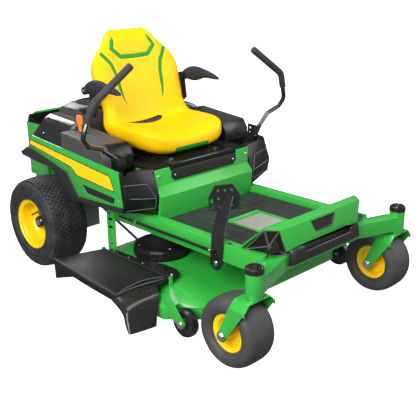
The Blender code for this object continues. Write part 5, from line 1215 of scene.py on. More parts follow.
def seat_cover(settings):
    """The padded seat: the CAD cushion's form inflated, seamed and marked for its bands and for the painted
    shade in its crease.
    """
    obj = merged_copy("seat", "seat_cover")
    remeshed(obj, settings)
    inflated(obj, settings)
    points = seat_outline(points_of(obj.data) - ORIGIN)
    points[:, 2] = np.maximum(points[:, 2], SEAT_BASE_Z)
    set_points(obj.data, points + ORIGIN)
    fine = obj.modifiers.new("Fine", "SUBSURF")
    fine.levels = fine.render_levels = 1
    applied(obj)
    points = points_of(obj.data) - ORIGIN
    band, crease, seam = seat_marks(points, normals_of(obj.data), settings)
    # the crease is sunk a little and carries its painted shade to the shader
    depth = settings.seam * seam + SHADED_CREASE_DEPTH * crease
    set_points(obj.data, points + ORIGIN - depth[:, None] * normals_of(obj.data))
    for name, values in (("band", band), ("crease", crease)):
        layer = obj.data.attributes.new(name, "FLOAT", "POINT")
        layer.data.foreach_set("value", values.astype(np.float32))
    obj.data.materials.clear()
    obj.data.materials.append(LOOKS["vinyl"])
    obj.data.shade_smooth()
    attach(obj, "seat_slider")
    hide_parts("seat")


ARM_TOP = [(0.230, 0.930), (0.250, 0.955), (0.300, 0.960), (0.370, 0.950), (0.440, 0.936), (0.497, 0.917)]
ARM_UNDER = [(0.230, 0.905), (0.250, 0.889), (0.300, 0.888), (0.370, 0.906), (0.440, 0.909), (0.497, 0.904)]
ARM_SQUARE = 2.6
ARM_HUB = ((0, 0.0004), (0.0170, 0.0004), (0.0185, 0.0020), (0.0185, 0.0460), (0.0160, 0.0480), (0, 0.0480))


def armrest_grid(low, high):
    """Grid of an armrest pad: superellipse sections between an upper and a lower line.

    At share t along it a section is |y / b|^p + |z / c|^p = 1, and b and c shrink to nothing as
    (1 - |2t - 1|^6)^(1/2) at its two ends.
    """
    count = 40
    upper, lower = smooth_path(ARM_TOP, count), smooth_path(ARM_UNDER, count)
    t = (1 - np.cos(np.linspace(0.04, np.pi - 0.04, count))) / 2
    share = np.linspace(0, 1, count)
    top, under = np.interp(t, share, upper[:, 1]), np.interp(t, share, lower[:, 1])
    x = low[0] + t * (high[0] - low[0])
    close = np.sqrt(1 - np.abs(2 * t - 1) ** 6)
    half_y = (high[1] - low[1]) / 2 * close
    half_z = (top - under) / 2 * close
    turn = np.linspace(0, 2 * np.pi, 32, endpoint=False)
    cos = np.sign(np.cos(turn)) * np.abs(np.cos(turn)) ** (2 / ARM_SQUARE)
    sin = np.sign(np.sin(turn)) * np.abs(np.sin(turn)) ** (2 / ARM_SQUARE)
    y = (low[1] + high[1]) / 2 + half_y[:, None] * cos
    z = ((top + under) / 2)[:, None] + half_z[:, None] * sin
    return np.stack([np.broadcast_to(x[:, None], y.shape), y, z], -1)


def armrest(name, side):
    """One armrest: its padded top, the hub that it folds on and the hub's bolt."""
    low, high = corners(name + "_armrest")
    body = name + "_arm"
    pad = Shape().grid(armrest_grid(low, high))
    made = piece(name + "_arm_pad", pad, LOOKS["pad"], body, [name + "_armrest"], 60)
    hub = pivot(name + "_arm_lift")
    out = np.array([0, side, 0])
    boss = Shape().turn(ARM_HUB, hub, out, 32)
    piece(name + "_arm_hub", boss, LOOKS["black"], body)
    bolt = Shape().bolt(hub + 0.0478 * out, out, 0.0055, 0.005)
    piece(name + "_arm_bolt", bolt, LOOKS["zinc"], body)


class MOWER_OT_seat(bpy.types.Operator):
    """Builds the padded seat and armrests"""

    bl_idname = "mower.seat"
    bl_label = "Seat"

    def execute(self, context):
        seat_cover(context.scene.mower_seat)
        for name, side in SIDES:
            armrest(name, side)
        return {"FINISHED"}


# Body trim

STRIPE = ((-0.053, 0.627), (-0.042, 0.646), (0.599, 0.587), (0.626, 0.526), (0.349, 0.545), (0.305, 0.577))
STRIPE_BORDER = 0.0042
DARK_PLATE = ((0.384, 0.508), (0.632, 0.495), (0.621, 0.467), (0.427, 0.4735))
HUMP_REAR = (
    (-0.024, 0.4617, 0.640),
    (-0.024, 0.4617, 0.672),
    (0.000, 0.405, 0.748),
    (-0.010, 0.360, 0.767),
    (-0.050, 0.285, 0.755),
    (-0.050, 0.285, 0.700),
)
HUMP_FRONT = (
    (0.250, 0.4617, 0.640),
    (0.250, 0.4617, 0.651),
    (0.222, 0.405, 0.732),
    (0.212, 0.360, 0.754),
    (0.228, 0.285, 0.745),
    (0.228, 0.285, 0.700),
)
HUMP_OUT = ((0, 1, 0), (0, 1, 0), (0, 0.6, 1), (0, 0, 1), (0, -0.4, 1), (0, -1, 0))
HUMP_ROUNDS = (0.003, 0.022, 0.034, 0.034, 0.020, 0.003)
HUMP_RINGS = 5
HUMP_END_SIZES = (0.925, 0.968, 0.992, 1.0)
HUMP_REAR_SHIFTS = (-0.0050, -0.0042, -0.0022, 0.0006)
HUMP_FRONT_SHIFTS = (0, 0.0010, 0.0020, 0.0024)
HUMP_SLOT = ((0.010, 0.394, 0.7545), (0.205, 0.394, 0.7405))
HUMP_SLOT_TILT = (0, 0.39, 0.92)
HUMP_WIDE_SLOT_SHARES = (0.32, 0.52)
HUMP_BOLT = (0.052, 0.4485, 0.6930)
SKIN = 0.0028
PLATE_ROOT = 0.002


def oblong(low, high):
    """Corners of a rectangle between two opposite ones."""
    return [(low[0], low[1]), (high[0], low[1]), (high[0], high[1]), (low[0], high[1])]


def on_side(points, side):
    """Points given for the left side, moved to either side."""
    return np.asarray(points, float) * (1, side, 1)


def proud(face, side, rise):
    """The two ends of a plate that stands a little out of a face."""
    return sorted((face - side * PLATE_ROOT, face + side * rise))


def bar(width, height, radius=0.0006):
    """Section of a flat bar with rounded edges."""
    u, v = width / 2, height / 2
    return filleted(oblong((-u, -v), (u, v)), radius, 3)


def panel_trim(name, side):
    """A stripe in a thin dark border, and a bare dark plate below it, on a side panel."""
    face = corners(name + "_side_panel")[(side + 1) // 2][1]
    stripe = filleted(STRIPE, 0.004)
    dark = Shape().slab(inset(stripe, -STRIPE_BORDER), *proud(face, side, 0.0005), 1, 0.0002)
    dark.slab(filleted(DARK_PLATE, 0.006), *proud(face, side, 0.0009), 1, 0.0003)
    piece(name + "_stripe_border", dark, LOOKS["satin_black"], "frame")
    film = Shape().slab(stripe, *proud(face, side, 0.0010), 1, 0.0003)
    piece(name + "_stripe", film, LOOKS["stripe"], "frame")


def hump_skin(name, side):
    """The glossy hump: rings of rounded corners between its two ends, its ends turned in a little."""
    out = np.asarray(HUMP_OUT) * SKIN
    rear, front = np.asarray(HUMP_REAR) + out, np.asarray(HUMP_FRONT) + out
    ends = np.array(HUMP_END_SIZES)
    size = np.concatenate([ends, np.ones(HUMP_RINGS), ends[::-1]])
    shift = np.concatenate([HUMP_REAR_SHIFTS, np.zeros(HUMP_RINGS), HUMP_FRONT_SHIFTS])
    between = np.linspace(0.05, 0.95, HUMP_RINGS)
    share = np.concatenate([np.zeros(len(ends)), between, np.ones(len(ends))])
    rings = []
    for s, k, x in zip(share, size, shift):
        ring = filleted(rear + (front - rear) * s, HUMP_ROUNDS, 6)
        middle = ring.mean(axis=0)
        rings.append(middle + (ring - middle) * (1, k, k) + (x, 0, 0))
    skin = Shape().grid(on_side(np.stack(rings), side))
    piece(name + "_hump", skin, LOOKS["gloss"], "frame", sharp=50)


def hump_slots(name, side):
    """The long slot on top of a hump, a dark bar of painted shade that is wider for a stretch, and the
    hump's screw.
    """
    tilt = on_side(HUMP_SLOT_TILT, side)
    line = on_side(HUMP_SLOT, side)
    slots = Shape().grid(swept(line, bar(0.0042, 0.003), tilt))
    middle = line[0] + (line[1] - line[0]) * np.array(HUMP_WIDE_SLOT_SHARES)[:, None]
    slots.grid(swept(middle, bar(0.0090, 0.004), tilt))
    piece(name + "_hump_slots", slots, LOOKS["pit"], "frame")
    bolt = Shape().button(on_side(HUMP_BOLT, side), (0, side, 0.75), 0.0042, 0.0025)
    piece(name + "_hump_bolt", bolt, LOOKS["zinc"], "frame")


CONSOLE = ((0.2235, 0.585), (0.2235, 0.7300), (0.5300, 0.7020), (0.5575, 0.6560), (0.5575, 0.585))
CONSOLE_FRONT = ((0.4950, 0.585), (0.4950, 0.7062), (0.5305, 0.7030), (0.5587, 0.6563), (0.5587, 0.585))
CONSOLE_SIDES = (0.2970, 0.4640)
CONSOLE_FRONT_OUT = 0.4260
CONSOLE_FALL = (CONSOLE[1][1] - CONSOLE[2][1]) / (CONSOLE[2][0] - CONSOLE[1][0])
CUP_PLACE = (0.280, 0.350, 0.7210)
CUP_AXIS = (0.092, 0.037, 0.995)
CUP_RIM = ((0.0380, -0.002), (0.0380, 0.0030), (0.0450, 0.0030), (0.0450, -0.002))
THROTTLE_REACH = (-0.046, 0.052)


def console_top(x):
    """Height of the console's top."""
    return CONSOLE[1][1] - (x - CONSOLE[1][0]) * CONSOLE_FALL


def console_cover():
    """The grained cover over the right console, its dark front pocket and the cup holder's rim."""
    outline = filleted(CONSOLE, (0.016, 0.016, 0.020, 0.018, 0.016), 5)
    cover = Shape().slab(outline, -CONSOLE_SIDES[1], -CONSOLE_SIDES[0], 1, 0.010, 5)
    piece("right_console_cover", cover, LOOKS["console"], "frame", sharp=50)
    outline = filleted(CONSOLE_FRONT, (0.010, 0.010, 0.020, 0.018, 0.010), 5)
    pocket = Shape().slab(outline, -CONSOLE_FRONT_OUT, -CONSOLE_SIDES[0] + 0.0012, 1, 0.006, 4)
    piece("right_console_front", pocket, LOOKS["chute"], "frame", sharp=50)
    rim = turned(filleted(CUP_RIM, 0.0015), np.array(CUP_PLACE), CUP_AXIS, 48)
    piece("cup_rim", Shape().grid(rim, round_rows=True), LOOKS["gloss"], "frame")


def throttle_slot():
    """The plate on the console and the slot that the throttle lever moves in, a dark bar of painted shade.
    """
    lever = pivot("throttle_tilt")
    ends = lever[0] + np.array(THROTTLE_REACH)
    tilt = (CONSOLE_FALL, 0, 1)
    line = np.stack([ends, np.full(2, lever[1]), console_top(ends)], -1)
    plate = Shape().grid(swept(line, bar(0.036, 0.0024), tilt))
    piece("throttle_plate", plate, LOOKS["satin_black"], "frame")
    inner = line + [[0.010, 0, 0.0006], [-0.010, 0, 0.0006]]
    slot = Shape().grid(swept(inner, bar(0.012, 0.0024), tilt))
    piece("throttle_slot", slot, LOOKS["pit"], "frame")


def throttle_paddle():
    """The orange paddle: a narrow stem that widens to a flat grip."""
    low, high = corners("throttle_lever")
    x, top = pivot("throttle_tilt")[0], high[2]
    half = [(0.0085, low[2] + 0.03), (0.0095, top - 0.050), (0.0200, top - 0.034), (0.0200, top + 0.001)]
    front = [(x + width, z) for width, z in half]
    rear = [(x - width, z) for width, z in half]
    outline = filleted(rear[:1] + front + rear[:0:-1], 0.008)
    blade = Shape().slab(outline, low[1] - 0.0025, high[1] + 0.0025, 1, 0.003, 4)
    piece("throttle_paddle", blade, LOOKS["orange"], "throttle", sharp=50)


CAP_CORNERS = (
    (1.282, 0.328, 0.402),
    (1.354, 0.300, 0.491),
    (1.400, 0.263, 0.491),
    (1.414, 0.234, 0.388),
    (1.374, 0.288, 0.387),
)
CAP_MIDDLE = (1.371, 0.291, 0.428)
CAP_PIT_SHARE = 0.74
BADGE = ((-0.079, 0.4860), (0.079, 0.4860), (0.052, 0.4360), (-0.052, 0.4360))
COVER_RIDGE = (1.404, 0.495)
COVER_FOOT = (1.418, 0.405)


def badge_recess():
    """A bare recess on the leaning face of the front cover: a raised rim round a plain plate."""
    fall = (COVER_FOOT[0] - COVER_RIDGE[0]) / (COVER_RIDGE[1] - COVER_FOOT[1])
    lean = np.eye(4)
    lean[0, 2], lean[0, 3] = -fall, COVER_RIDGE[0] + fall * COVER_RIDGE[1]
    outline = filleted(BADGE, 0.006)
    rim = Shape().rim(outline, -0.002, 0.0034, 0, 0.0055).placed(lean)
    piece("badge_rim", rim, LOOKS["satin_black"], "frame")
    plate = Shape().slab(inset(outline, 0.004), -0.002, 0.0010, 0, 0.0003).placed(lean)
    piece("badge_plate", plate, LOOKS["black"], "frame")


def bumper_caps():
    """The ribs of the bumper caps, pale painted highlights from corner to corner and to the middle, with
    dark pits of painted shade between.
    """
    ribs, pits = Shape(), Shape()
    for _, side in SIDES:
        rim = on_side(CAP_CORNERS, side)
        middle = on_side(CAP_MIDDLE, side)
        for here, after in zip(rim, np.roll(rim, -1, axis=0)):
            corner = np.stack([here, after, middle])
            out = unit(np.cross(corner[1] - corner[0], corner[2] - corner[0]))
            out = out * np.sign(out @ (1, side, 0.3))
            corner = corner.mean(axis=0) + CAP_PIT_SHARE * (corner - corner.mean(axis=0))
            pits.grid(np.stack([corner - 0.003 * out, corner + 0.0012 * out]))
            ribs.tube(np.linspace(here, after, 2), 0.0014, 8, X + 0.3 * Z)
            ribs.tube(np.linspace(here, middle, 2), 0.0017, 8, X + 0.3 * Z)
    # painted shade in the pits, painted highlights on the ribs
    piece("bumper_cap_pits", pits, LOOKS["pit"], "frame")
    piece("bumper_cap_ribs", ribs, LOOKS["rib"], "frame")


HATCH = ((0.950, -0.105), (1.165, 0.105))
HATCH_PLATE = ((0.988, -0.088), (1.131, 0.084))
MAT_RIBS = 8
MAT_PITCH = 0.060
MAT_RIB_HALF = 0.0268
MAT_HALF = 0.2875
MAT_FOOT_Z = 0.3740
HATCH_MIDDLE_X = 1.0575
HATCH_ROOM_X = 0.134
HATCH_ROOM_Y = 0.1075


def hatch():
    """The raised frame round the floor's hatch, and the bare plate in it."""
    rim = Shape().rim(filleted(oblong(*HATCH), 0.012), 0.368, 0.3790, 2, 0.0115)
    piece("hatch_frame", rim, LOOKS["green"], "frame")
    plate = Shape().slab(filleted(oblong(*HATCH_PLATE), 0.004), 0.3745, 0.3760, 2, 0.0004)
    piece("hatch_plate", plate, LOOKS["pale"], "frame")


def body_bolts():
    """The bolts of the tower and of the side panels, and the screws of the tower's plate."""
    bolts = Shape()
    for _, side in SIDES:
        bolts.bolt((0.7122, side * 0.282, 0.571), X, 0.0058, 0.0045)
        bolts.button((0.7162, side * 0.188, 0.562), X, 0.0048, 0.0028)
        bolts.bolt((0.655, side * 0.4682, 0.486), (0, side, 0), 0.0044, 0.0030)
    piece("body_bolts", bolts, LOOKS["zinc"], "frame")


def rail_holes():
    """A drain hole on top of each rail, a dark disc of painted shade."""
    holes = Shape()
    disc = [(0, -0.001), (0.0085, -0.001), (0.0085, 0.0005), (0, 0.0005)]
    for _, side in SIDES:
        holes.turn(disc, (1.197, side * 0.328, 0.400), Z, 24)
    piece("rail_holes", holes, LOOKS["pit"], "frame")


TOWER_REAR_X = 0.436
TOWER_FRONT_X = 0.702
TOWER_CHEEK = (
    (TOWER_REAR_X, 0.530),
    (TOWER_REAR_X, 0.603),
    (TOWER_FRONT_X, 0.603),
    (TOWER_FRONT_X, 0.591),
    (0.572, 0.591),
    (0.572, 0.530),
)
TOWER_LIP = ((-0.212, 0.588), (0.208, 0.588), (0.208, 0.6025), (-0.217, 0.6025))
TOWER_LEDGE = ((0.7055, -0.212), (0.7130, 0.208))


def tower_covers():
    """Painted shade under the seat: dark plates beside the seat's plate, a shelf and a cheek on each side,
    and a lip along the front.
    """
    covers = Shape()
    for _, side in SIDES:
        shelf = oblong((TOWER_REAR_X, side * 0.2040), (TOWER_FRONT_X, side * 0.3005))
        covers.slab(shelf, 0.597, 0.6040, 2, 0.0015)
        covers.slab(TOWER_CHEEK, *proud(side * 0.2997, side, 0.0012), 1, 0.0004)
    covers.slab(TOWER_LIP, 0.7100, 0.7150, 0, 0.0010)
    covers.slab(oblong(*TOWER_LEDGE), 0.5985, 0.6028, 2, 0.0008)
    piece("tower_covers", covers, LOOKS["pit"], "frame")


CORNER_WAIST = (0.732, -0.318, 0.483)
CORNER_HEEL = (0.725, -0.317, 0.436)
CORNER_BROW = (0.7105, -0.349, 0.551)
CORNER_CREASES = (
    ((0.6995, -0.4665, 0.508), (0.714, -0.438, 0.5035), (0.720, -0.398, 0.496), CORNER_WAIST),
    (CORNER_BROW, (0.7235, -0.331, 0.514), CORNER_WAIST),
    (CORNER_WAIST, (0.729, -0.3165, 0.460), CORNER_HEEL),
    (CORNER_HEEL, (0.711, -0.394, 0.443), (0.698, -0.461, 0.449)),
    ((0.689, -0.464, 0.562), (0.699, -0.428, 0.560), CORNER_BROW),
)
CREASE_STEPS = 24


def corner_creases():
    """Painted highlights along the corner covers' creases: pale tubes that thin as sin(a)^0.3 to their
    ends.
    """
    crease_highlights = Shape()
    taper = np.sin(np.linspace(0.3, np.pi - 0.3, CREASE_STEPS)) ** 0.3
    for _, side in SIDES:
        for line in CORNER_CREASES:
            path = smooth_path(on_side(line, -side), CREASE_STEPS) + (0.0010, side * 0.0006, 0)
            crease_highlights.tube(path, 0.0016, 8, X + 0.2 * Z, taper)
    piece("corner_creases", crease_highlights, LOOKS["rib"], "frame")


GUARD_BACK = ((-0.285, 0.410), (0.285, 0.705))
GUARD_WING = ((-0.345, 0.410), (-0.190, 0.410), (-0.190, 0.660), (-0.345, 0.700))
GUARD_HALF_PATH = [(-0.184, 0.3003), (-0.350, 0.3003), (-0.3603, 0.290), (-0.3603, 0)]
GUARD_RIDGES = (0.417, 0.608)


def guard_liner():
    """Painted shade inside the rear guard: dark sheets on its back and two wings."""
    shade_sheet = Shape().slab(filleted(oblong(*GUARD_BACK), 0.010), -0.3565, -0.3552, 0, 0.0004)
    for _, side in SIDES:
        shade_sheet.slab(filleted(GUARD_WING, 0.010), *proud(side * 0.2960, -side, 0.0010), 1, 0.0004)
    piece("guard_liner", shade_sheet, LOOKS["pit"], "frame")


def mat_ribs():
    """The mat's ribs across the floor, parted where the hatch lies."""
    ribs = Shape()
    low, high = corners("floor_mat")
    for x in low[0] + (np.arange(MAT_RIBS) + 0.5) * MAT_PITCH:
        spans = [(-MAT_HALF, MAT_HALF)]
        if abs(x - HATCH_MIDDLE_X) < HATCH_ROOM_X:
            spans = [(-MAT_HALF, -HATCH_ROOM_Y), (HATCH_ROOM_Y, MAT_HALF)]
        for right, left in spans:
            outline = oblong((x - MAT_RIB_HALF, right), (x + MAT_RIB_HALF, left))
            ribs.slab(filleted(outline, 0.004), MAT_FOOT_Z, high[2] + 0.0012, 2, 0.0016, 3)
    piece("mat_ribs", ribs, LOOKS["mat"], "frame")


def guard_ridges():
    """Two green ridges that run round the rear guard."""
    ridges = Shape()
    path = np.array(GUARD_HALF_PATH + [(x, -y) for x, y in GUARD_HALF_PATH[-2::-1]])
    for z in GUARD_RIDGES:
        ridges.grid(swept(np.insert(path, 2, z, axis=1), bar(0.0060, 0.0240, 0.0028)))
    piece("guard_ridges", ridges, LOOKS["green"], "frame")


def spokes(degrees):
    """Level unit vectors at some angles."""
    turns = np.radians(degrees)
    return np.stack([np.cos(turns), np.sin(turns), np.zeros(len(turns))], -1)


def caster_bolts(name):
    """The hexagon heads of a caster's axle."""
    low, high = corners(name + "_caster_fork")
    hub = pivot(name + "_caster_spin")
    bolts = Shape()
    for side, face in ((-1, low[1]), (1, high[1])):
        bolts.bolt((hub[0], face - side * 0.0035, hub[2]), (0, side, 0), 0.0150, 0.0085)
    piece(name + "_caster_bolts", bolts, LOOKS["zinc"], name + "_caster")


def cap_crown(name):
    """The glossy ring, button and three spokes on top of a caster's cap."""
    low, high = corners(name + "_caster_cap")
    middle = (low + high) / 2 * (1, 1, 0) + high * Z
    ring = [(0.030, -0.001), (0.029, 0.0022), (0.026, 0.0030), (0.023, 0.0022), (0.022, -0.001)]
    crown = Shape().grid(turned(ring, middle, Z, 48), round_rows=True)
    crown.turn([(0, -0.001), (0.011, -0.001), (0.010, 0.0018), (0, 0.0026)], middle, Z, 24)
    for spoke in spokes([90, 210, 330]):
        line = np.linspace(middle + 0.008 * spoke, middle + 0.024 * spoke, 2)
        crown.grid(swept(line, bar(0.0055, 0.0030)))
    piece(name + "_cap_crown", crown, LOOKS["gloss"], "frame")


DOME_EDGE = (
    (0, -0.020),
    (0.0014, -0.010),
    (0.006, -0.003),
    (0.014, 0.0009),
    (0.040, 0.0011),
    (0.043, 0.0016),
)
DOME_RIB_SHARES = (0, 1, 1, 0.8, 0.3, 0, 0, 0, 0)
DOME_RIBS = 28
DOME_STEPS = 224
DOME_RIB_HEIGHT = 0.0016
DOME_BOLT_CIRCLE = 0.108
HANGER_X = 0.435
HANGER_FACE = 0.3565
HANGER_BOLTS = (0.205, 0.252, 0.352)
HANGER_SLOTS = (0.275, 0.315)


def cover_dome(name):
    """A belt cover's dome: a turned form whose wall swells by cos(28 a)^6 into ribs."""
    low, high = corners(name + "_belt_cover")
    centre = ((low + high) / 2) * (1, 1, 0)
    radius = (high[0] - low[0]) / 2 + 0.0012
    foot, crown = low[2] + 0.0005, high[2] + DOME_EDGE[-1][1]
    profile = [(0, foot), (radius, foot)]
    profile += [(radius - step, high[2] + rise) for step, rise in DOME_EDGE]
    profile += [(0, crown)]
    dome = turned(profile, centre, Z, DOME_STEPS)
    turn = np.linspace(0, 2 * np.pi, DOME_STEPS, endpoint=False)
    rib = np.maximum(0, np.cos(DOME_RIBS * turn)) ** 6
    spread = (dome - centre) * (1, 1, 0)
    swell = DOME_RIB_HEIGHT * np.array(DOME_RIB_SHARES)[:, None] * rib
    dome = dome + spread / radius * swell[..., None]
    piece(name + "_cover_dome", Shape().grid(dome), LOOKS["chute"], "deck")


def deck_bolts(name, side):
    """The bolts of a belt cover, an anti-scalp wheel and a deck hanger."""
    low, high = corners(name + "_belt_cover")
    centre = ((low + high) / 2) * (1, 1, 0)
    bolts = Shape()
    for spoke in spokes([20, 110, 200, 290]):
        spot = centre + DOME_BOLT_CIRCLE * on_side(spoke, side)
        bolts.bolt(spot + Z * (high[2] + 0.0010), Z, 0.0042, 0.0028)
    strap = corners("deck_shell")[(side + 1) // 2][1]
    scalp = pivot(name + "_scalp_spin")
    bolts.bolt((scalp[0], strap - side * 0.0040, scalp[2]), (0, side, 0), 0.0130, 0.0070)
    for z in HANGER_BOLTS:
        bolts.bolt((HANGER_X, side * HANGER_FACE, z), (0, side, 0), 0.0062, 0.0045)
    piece(name + "_deck_bolts", bolts, LOOKS["zinc"], "deck")


def hanger_slots(name, side):
    """The slots of a deck hanger, dark plates of painted shade."""
    slots = Shape()
    for z in HANGER_SLOTS:
        outline = filleted(oblong((0.420, z), (0.450, z + 0.012)), 0.006)
        slots.slab(outline, *proud(side * HANGER_FACE, side, 0.0004), 1, 0.0002)
    piece(name + "_hanger_slots", slots, LOOKS["pit"], "deck")


CHUTE_ROOF = (
    ((0.482, -0.437, 0.206), (0.720, -0.437, 0.206), (0.950, -0.437, 0.206)),
    ((0.446, -0.490, 0.198), (0.715, -0.490, 0.199), (0.957, -0.493, 0.197)),
    ((0.412, -0.540, 0.190), (0.700, -0.540, 0.192), (0.932, -0.542, 0.190)),
    ((0.371, -0.600, 0.182), (0.660, -0.600, 0.181), (0.888, -0.602, 0.179)),
    ((0.346, -0.637, 0.176), (0.630, -0.650, 0.168), (0.868, -0.657, 0.169)),
    ((0.343, -0.642, 0.158), (0.630, -0.659, 0.149), (0.860, -0.672, 0.150)),
)
CHUTE_SKIRT = (
    (
        (0.952, -0.506, 0.1915), (0.982, -0.530, 0.189), (1.0026, -0.5474, 0.179),
        (1.021, -0.571, 0.125), (1.039, -0.595, 0.071),
    ),
    (
        (0.906, -0.554, 0.1835), (0.952, -0.566, 0.181), (0.988, -0.581, 0.171),
        (1.011, -0.608, 0.121), (1.034, -0.633, 0.071),
    ),
    (
        (0.876, -0.601, 0.1760), (0.934, -0.618, 0.173), (0.976, -0.633, 0.162),
        (1.003, -0.656, 0.116), (1.028, -0.672, 0.071),
    ),
    (
        (0.858, -0.656, 0.1650), (0.922, -0.673, 0.161), (0.970, -0.686, 0.148),
        (0.994, -0.699, 0.110), (1.020, -0.710, 0.071),
    ),
    (
        (0.852, -0.673, 0.1480), (0.914, -0.688, 0.143), (0.960, -0.700, 0.130),
        (0.985, -0.709, 0.098), (1.010, -0.716, 0.071),
    ),
)
CHUTE_WALL = 0.0040
CHUTE_RIDGES = (
    ((0.922, -0.450, 0.2055), (0.878, -0.515, 0.1975), (0.860, -0.590, 0.1840), (0.856, -0.645, 0.1725)),
    ((0.940, -0.458, 0.2055), (0.908, -0.530, 0.1955), (0.880, -0.590, 0.1840), (0.862, -0.652, 0.1715)),
)
RIDGE_STEPS = 40
FLAP = ((0.352, 0.076), (0.352, 0.168), (0.470, 0.196), (0.440, 0.150), (0.425, 0.076))
FLAP_CORNER = (0.348, -0.634)
FLAP_SLOPE = 1.47
CHUTE_HINGE = ((0.482, -0.437, 0.205), (0.948, -0.437, 0.205))
HINGE_PLATE = (
    (0.500, -0.431), (0.500, -0.405), (0.620, -0.397), (0.700, -0.3925), (0.765, -0.375),
    (0.810, -0.354), (0.900, -0.354), (0.948, -0.376), (0.950, -0.431),
)
HINGE_PLATE_HOLES = ((0.812, -0.378), (0.846, -0.383))
HINGE_PLATE_SCREWS = (0.530, 0.640, 0.740)


def net_sheet(net, across_count, along_count):
    """Grid of a product of Catmull-Rom splines through a net of points."""
    net = np.asarray(net, float)
    rows, columns = net.shape[:2]
    sheet = smooth_path(net.reshape(rows, -1), across_count).reshape(-1, columns, 3)
    turned_over = sheet.transpose(1, 0, 2).reshape(columns, -1)
    return smooth_path(turned_over, along_count).reshape(along_count, -1, 3)


def chute_sheet(name, net, look, replaced=()):
    """A curved sheet of the discharge chute, given its wall and soft edges."""
    shell = Shape().grid(net_sheet(net, 40, 60), round_columns=False)
    obj = piece(name, shell, LOOKS[look], "chute", replaced, 60)
    wall = obj.modifiers.new("Wall", "SOLIDIFY")
    wall.thickness = CHUTE_WALL
    wall.offset = 0
    softened(obj, 0.0012, 50)


def chute_ridges():
    """Two raised ridges on the chute: tubes that thin as sin(a)^0.4 to their ends."""
    ridges = Shape()
    taper = np.sin(np.linspace(0.25, np.pi - 0.25, RIDGE_STEPS)) ** 0.4
    for line in CHUTE_RIDGES:
        ridges.tube(smooth_path(line, RIDGE_STEPS), 0.0062, 20, Z, taper)
    piece("chute_ridges", ridges, LOOKS["gloss"], "chute", sharp=50)


def chute_flap():
    """The leaning flap at the chute's rear corner, its y rising with x, and the chute's hinge pin."""
    flap = Shape().slab(filleted(FLAP, 0.006), -0.0022, 0.0022, 1, 0.0008)
    lean = np.eye(4)
    lean[1, 0], lean[1, 3] = FLAP_SLOPE, FLAP_CORNER[1] - FLAP_SLOPE * FLAP_CORNER[0]
    piece("chute_flap", flap.placed(lean), LOOKS["satin_black"], "chute")
    hinge = Shape().tube(np.array(CHUTE_HINGE), 0.0060)
    piece("chute_hinge", hinge, LOOKS["black"], "chute")


def hinge_plate():
    """The plate that the chute hangs on, with its holes, bolt and screws."""
    plate = Shape().slab(filleted(HINGE_PLATE, 0.010), 0.2008, 0.2046, 2, 0.0010)
    piece("chute_hinge_plate", plate, LOOKS["satin_black"], "deck")
    # the holes are dark discs of painted shade
    holes = Shape()
    for place in HINGE_PLATE_HOLES:
        holes.slab(circle(1.0, 24) * (0.0105, 0.0070) + place, 0.203, 0.2050, 2, 0.0002)
    piece("hinge_plate_holes", holes, LOOKS["pit"], "deck")
    bolts = Shape().bolt((0.925, -0.405, 0.2045), Z, 0.0062, 0.0048)
    for x in HINGE_PLATE_SCREWS:
        bolts.button((x, -0.416, 0.2046), Z, 0.0048, 0.0026)
    piece("hinge_plate_bolts", bolts, LOOKS["zinc"], "deck")


def lever_bolts(name, side):
    """The bolts of a steering lever's two hinges."""
    drive, swing = pivot(name + "_lever_drive"), pivot(name + "_lever_swing")
    low, high = corners(name + "_lever_bracket")
    reach = max(abs(low[1]), abs(high[1])) - 0.0005
    bolts = Shape().bolt((drive[0], side * reach, drive[2]), (0, side, 0), 0.0075, 0.0050)
    bolts.bolt((high[0] - 0.0005, swing[1], swing[2]), X, 0.0070, 0.0048)
    piece(name + "_lever_bolts", bolts, LOOKS["zinc"], name + "_lever_pivot")


ROD_PIN_X = 1.122


def pedal_bolts():
    """The lift pedal's pivot bolt and the pin of its rod."""
    place = pivot("pedal_press")
    low, _ = corners("lift_pedal")
    bolt = Shape().bolt((place[0], low[1] + 0.0005, place[2]), -Y, 0.0085, 0.0055)
    piece("pedal_bolt", bolt, LOOKS["zinc"], "pedal")
    low, high = corners("lift_rod")
    pin = Shape().bolt((ROD_PIN_X, low[1] + 0.0008, (low[2] + high[2]) / 2), -Y, 0.0058, 0.0045)
    piece("rod_pin", pin, LOOKS["zinc"], "rod")


SCREEN_R = 0.118
FIN_ROOT = (-0.172, 0.158)
FIN_TIP = (-0.048, 0.199)
FIN_HEIGHTS = (0.440, 0.556)
FIN_COUNT = 10
OIL_CAN = ((0, -0.001), (0.030, -0.001), (0.036, 0.006), (0.036, 0.062), (0.031, 0.071), (0, 0.074))
OIL_CAN_PLACE = (-0.100, 0.472)
OUTLET = ((-0.292, 0.100, 0.464), (-0.292, 0.106, 0.440), (-0.292, 0.130, 0.430), (-0.292, 0.195, 0.429))
GRIP_STEPS = 144
GRIP_RIPPLES = 24


